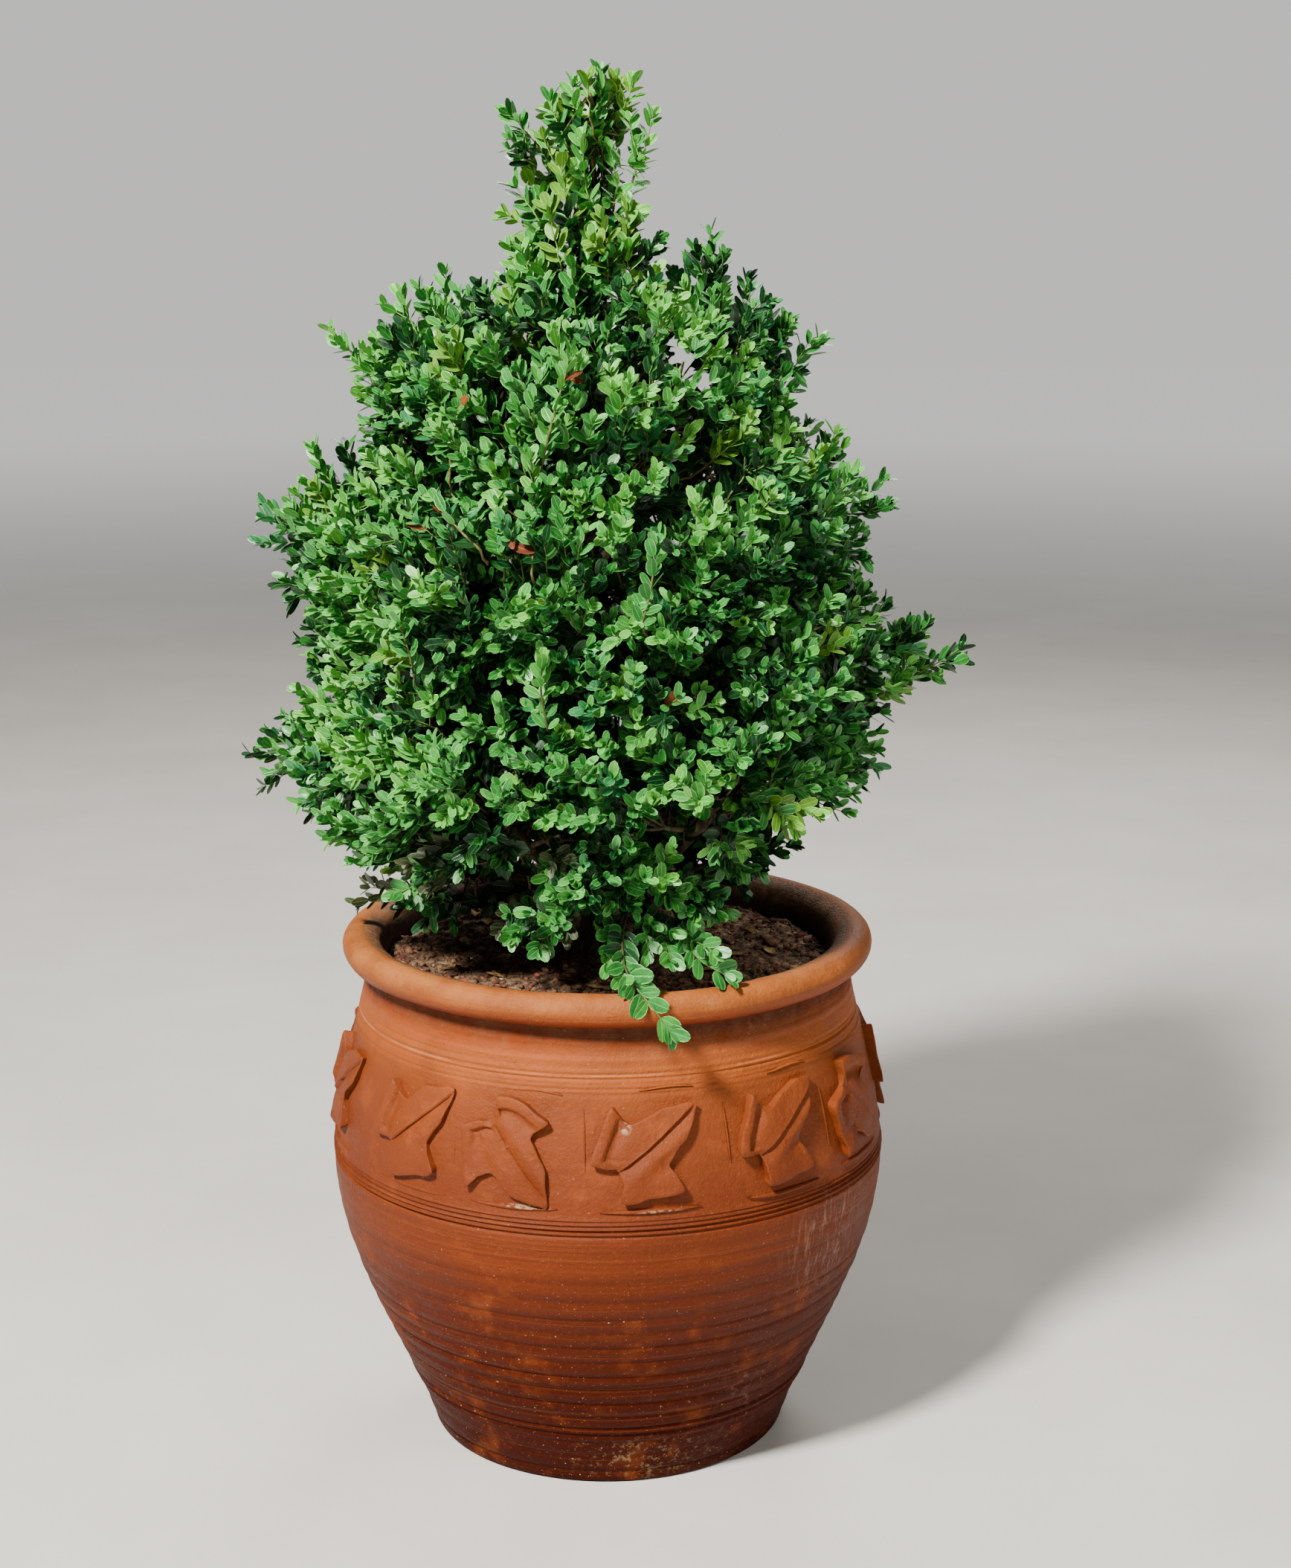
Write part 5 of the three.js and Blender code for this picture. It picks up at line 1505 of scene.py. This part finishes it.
def fill_inside(count):
    """Thin growth round the trunk, mostly in the darkest tone: painted shade inside the crown."""
    own = np.random.default_rng(888)
    made = 0
    for _ in range(count * 3):
        if made >= count:
            break
        th, z = own.uniform(0, 360), 508 + 450 * own.uniform() ** 1.25
        x, y = math.cos(math.radians(th)), math.sin(math.radians(th))
        full = reach_at(AXIS_X + x, y, z)
        if full < 75:
            continue
        r = own.uniform(25, full - 42)
        tip = np.array([AXIS_X + x * r, y * r, z])
        name, near = near_limb(tip)
        d = unit(np.array([x, y, 0.5]) + own.normal(0, 0.5, 3))
        root = tip - d * own.uniform(40, 60)
        root = root + (near - root) * 0.3
        path = arc(root, tip - d * 25, tip, 6)
        if inside_pot(path, 2).any():
            continue
        twig(tan_twigs, path, np.linspace(1.2, 0.5, 6), 3)
        # painted shade: mostly the darkest tone
        dress(path, "deep" if own.uniform() < 0.8 else "mid", own, 0.25, 9.0, 20, 17, 36, LIT, 0.4, 0)
        limb_points[name].append(root)
        made += 1
    return made


total = {MASSES[i][0]: grow_mass(i) for i in range(len(MASSES))}
total["clefts"] = fill_clefts()
total["inside"] = fill_inside(640)
own = np.random.default_rng(4321)
for pts in SPIRE:
    path = through(pts, 13)
    path[1:-1] += own.normal(0, 0.7, path[1:-1].shape)
    shoot(path, ("bright", "olive", "mid", "bright", "olive")[own.integers(0, 5)], own, own.uniform(17.0, 20.0), unit(LIT + unit(np.array([path[-1][0] + 12, path[-1][1], 0.0])) * 0.5), (1.3, 0.45), 0.16, own.integers(0, 2), 0.3, 8.8, 0.8, 2, 0.3, 0.09, 42, 0.88)
for pts, size, tone, shoots in DRAPES:
    path = through(pts, 12)
    low = pts[-1][2] < 470 and abs(pts[-1][0] - 50) < 60
    shoot(path, tone, own, size, unit(np.array([0.45, -0.78, 0.38])), (1.2, 0.5), 0.34, shoots, 0.4, 10.4 if low else 9.6, 0.6, 2, 0.9 if low else 0.7, 0.16 if low else 0.08, 38, 0.9)

for flat, tone in STEMS:
    path = []
    for x, z in flat:
        d = line_of_sight(x, z)
        hit = ALL.ray_cast(Vector(EYE), Vector(d))
        if hit[0] is not None:
            path.append(np.array(hit[0]) + d * 2.0)
    if len(path) == 3 and np.linalg.norm(path[2] - path[0]) < 160:
        path = through(path, 11)
        # its foot turns back into the crown
        path = np.concatenate([path[:1] + np.array([[4.0, 26.0, -14.0]]), path[:1] + np.array([[1.0, 9.0, -7.0]]), path])
        twig(tan_twigs, path, np.linspace(1.15, 0.6, len(path)), 5)
        dress(path, tone, own, 0.34, 8.6, 16.5, 15.5, 46, unit(LIT + np.array([0, -0.6, 0])), 0.5, 2, 0.3, 0.05)


# secondary limbs: from the bough's end to the feet of groups of sprays
def join_limbs():
    soup = Soup()
    for index, (name, centre) in enumerate(MASSES):
        own = np.random.default_rng(900 + index)
        roots = np.array(limb_points[name])
        if len(roots) < 2:
            continue
        limb, limb_r = BOUGH_END[name]
        groups = max(2, len(roots) // 5)
        seeds = roots[own.choice(len(roots), groups, replace=False)]
        for _ in range(6):
            who = np.argmin(np.linalg.norm(roots[:, None] - seeds[None], axis=2), axis=1)
            for g in range(groups):
                if (who == g).any():
                    seeds[g] = roots[who == g].mean(0)
        for g in range(groups):
            mine = roots[who == g]
            if not len(mine):
                continue
            # it leaves the limb lower than the group
            d = np.linalg.norm(limb - seeds[g], axis=1) + 0.6 * np.maximum(0, limb[:, 2] - seeds[g][2] + 20)
            j = int(np.argmin(d))
            start = limb[j]
            end = seeds[g]
            mid = (start + end) / 2 + np.array([0, 0, -6.0]) + own.normal(0, 4, 3)
            pts = arc(start, mid, end, 9)
            if inside_pot(pts, 0.0).any():
                continue
            pts = pts[::2] if len(pts) > 8 else pts
            twig(soup, pts, np.linspace(min(3.0, limb_r[j] * 0.8), 1.5, len(pts)), 6)
            for r in mine:
                if np.linalg.norm(r - end) < 2:
                    continue
                k = pts[own.integers(2, 5)]
                m = (k + r) / 2 + own.normal(0, 2.5, 3)
                twig(soup, arc(k, m, r, 4), np.linspace(1.7, 1.15, 4), 4)
    return soup.build("branchlets_bark", BARK)


finish_piece(join_limbs(), "bark")

# ------------------------------------------------------------------ leaves as meshes
ROWS = {
    2: [(0.09, 0.40), (0.27, 0.84), (0.52, 1.0), (0.77, 0.88), (0.94, 0.52)],
    1: [(0.12, 0.52), (0.36, 0.93), (0.66, 0.99), (0.90, 0.64)],
    0: [(0.26, 0.88), (0.72, 0.94)],
}


def leaf_template(rows):
    """x -1..1 across, y 0..1 along: an oval blade, a little wider past its middle, with a blunt tip."""
    v, uv = [(0, 0.0)], [(0, 0)]
    for y, w in rows:
        v += [(-w, y), (0, y), (w, y)]
        uv += [(-1, y), (0, y), (1, y)]
    v.append((0, 1.0))
    uv.append((0.3, 1))
    f = [(0, 2, 1), (0, 3, 2)]
    for r in range(len(rows) - 1):
        a = 1 + r * 3
        b = a + 3
        f += [(a, a + 1, b), (a + 1, b + 1, b), (a + 1, a + 2, b + 1), (a + 2, b + 2, b + 1)]
    a = 1 + (len(rows) - 1) * 3
    f += [(a, a + 1, a + 3), (a + 1, a + 2, a + 3)]
    return np.array(v, float), np.array(uv, float), np.array(f)


DEAD_AT = [(-14, 899), (-158, 788), (-138, 786), (-76, 752), (-4, 512), (60, 640), (-110, 880)]


def build_leaves():
    at = np.array(leaf["at"])
    along = np.array(leaf["along"])
    normal = np.array(leaf["normal"])
    length = np.array(leaf["length"])
    width = np.array(leaf["width"]) / 2
    fold = np.array(leaf["fold"])
    droop = np.array(leaf["droop"])
    tone = np.array([TONES.index(t) for t in leaf["tone"]])
    detail = np.array(leaf["detail"])
    tips = at + along * length[:, None]
    mids = at + along * length[:, None] * 0.5
    keep = ~(inside_pot(tips, 2.0) | inside_pot(mids, 2.0) | inside_pot(at, 0.5))
    lo = np.array(cad_box[0]) * 1000 + 1
    hi = np.array(cad_box[1]) * 1000 - 1
    keep &= ((tips > lo) & (tips < hi)).all(1)
    keep &= ~(in_opening(tips) | in_opening(mids) | in_opening(at + along * length[:, None] * 0.8))
    # a few dead leaves, caught a little way in
    for x, z in DEAD_AT:
        d = line_of_sight(x, z)
        hit = ALL.ray_cast(Vector(EYE), Vector(d))
        spot = (np.array(hit[0]) if hit[0] is not None else EYE + d * 2200) + d * 14
        for k in np.argsort(np.linalg.norm(mids - spot, axis=1) + 1e4 * ~keep)[:3]:
            tone[k] = TONES.index("dead")
    at, along, normal, length, width, fold, droop, tone, detail = (a[keep] for a in (at, along, normal, length, width, fold, droop, tone, detail))
    across = np.cross(along, normal)
    made = {}
    for t, label in enumerate(TONES):
        parts, count = [[]], 0
        for level in (2, 1, 0):
            tv, tuv, tf = leaf_template(ROWS[level])
            m = np.where((tone == t) & (detail == level))[0]
            while len(m):
                room = (190000 - count) // len(tf)
                if room < 1:
                    parts.append([])
                    count = 0
                    continue
                g, m = m[:room], m[room:]
                count += len(g) * len(tf)
                x, y = tv[:, 0], tv[:, 1]
                half = width[g][:, None]
                L = length[g][:, None]
                lift = fold[g][:, None] * np.abs(x)[None] * half - droop[g][:, None] * (y**2)[None] * L
                v = at[g][:, None] + across[g][:, None] * (x[None] * half)[..., None] + along[g][:, None] * (y[None] * L)[..., None] + normal[g][:, None] * lift[..., None]
                faces = (tf[None] + (np.arange(len(g)) * len(tv))[:, None, None]).reshape(-1, 3)
                parts[-1].append((v.reshape(-1, 3), faces, np.tile(tuv, (len(g), 1))))
        for number, part in enumerate(parts):
            if not part:
                continue
            start = np.cumsum([0] + [len(v) for v, _, _ in part])
            faces = np.concatenate([f + o for (_, f, _), o in zip(part, start)])
            name = "leaves_%s_%d" % (label, number + 1)
            obj = make_object(name, np.concatenate([v for v, _, _ in part]) * MM, faces, LEAVES[label], uv=np.concatenate([uv for _, _, uv in part]))
            finish_piece(obj, "foliage")
            made[name] = len(faces)
    return made


twigs_a = tan_twigs.build("twigs_tan", TWIG)
twigs_b = green_twigs.build("shoots_green", SHOOT)
finish_piece(twigs_a, "bark")
finish_piece(twigs_b, "bark")
made = build_leaves()
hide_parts(*[name for name, _ in MASSES])
print("sprays", sum(total.values()), total)
print("leaves", len(leaf["at"]), made, "all triangles", sum(made.values()))
for o in bpy.context.scene.objects:
    if o.type == "MESH" and o.name not in NODES:
        print("piece", o.name, sum(len(q.vertices) - 2 for q in o.data.polygons))

# ------------------------------------------------------------------ floor and light
BACKDROP, GLOW = (0.97, 0.96, 0.94), 0.72
n = Nodes("floor")
x, y, _ = n.split()
far = n.span(n.math("SQRT", n.math("ADD", n.math("MULTIPLY", x, x), n.math("MULTIPLY", y, y))), 2.6, 10.0)
seen = n.t.nodes.new("ShaderNodeLightPath").outputs["Is Camera Ray"]
c = n.ramp(n.noise(3.0, 4, 0.6), (0.35, srgb(208, 205, 198)), (0.7, srgb(218, 215, 208)))
n.bump((n.noise(40.0, 4, 0.6), 0.002, 0.15),)
# it runs out into the backdrop, without a horizon
FLOOR = n.set(
    Base_Color=n.mix(far, c, (0.02, 0.02, 0.02, 1)), Roughness=0.85, Specular_IOR_Level=0.2,
    Emission_Color=(*BACKDROP, 1), Emission_Strength=n.math("MULTIPLY", n.math("MULTIPLY", far, seen), GLOW))
s = 14.0
floor = make_object("floor", [(-s, -s, 0), (s, -s, 0), (s, s, 0), (-s, s, 0)], np.array([[0, 1, 2, 3]]), FLOOR, smooth=False)

world = bpy.data.worlds.new("studio")
bpy.context.scene.world = world
world.use_nodes = True
bg = world.node_tree.nodes["Background"]
bg.inputs[0].default_value = (*BACKDROP, 1)
# the backdrop shows paler than the light it gives
seen = world.node_tree.nodes.new("ShaderNodeLightPath")
give = world.node_tree.nodes.new("ShaderNodeMapRange")
give.inputs["To Min"].default_value = 0.12
give.inputs["To Max"].default_value = GLOW
world.node_tree.links.new(seen.outputs["Is Camera Ray"], give.inputs["Value"])
world.node_tree.links.new(give.outputs["Result"], bg.inputs[1])


def area(name, where, at, size, power, colour=(1, 1, 1)):
    d = bpy.data.lights.new(name, "AREA")
    d.shape = "DISK"
    d.size = size
    d.energy = power
    d.color = colour
    o = bpy.data.objects.new(name, d)
    o.location = where
    o.rotation_euler = (Vector(at) - Vector(where)).to_track_quat("-Z", "Y").to_euler()
    bpy.context.scene.collection.objects.link(o)
    return o


area("key", (-1.7, -2.5, 3.35), (0, 0, 0.65), 0.6, 505, (1.0, 0.965, 0.91))
area("fill", (2.3, -2.5, 2.6), (0, 0, 0.8), 1.6, 44, (1.0, 0.97, 0.93))
area("back", (0.8, 2.6, 2.6), (0, 0, 0.8), 1.6, 60, (1.0, 0.98, 0.94))
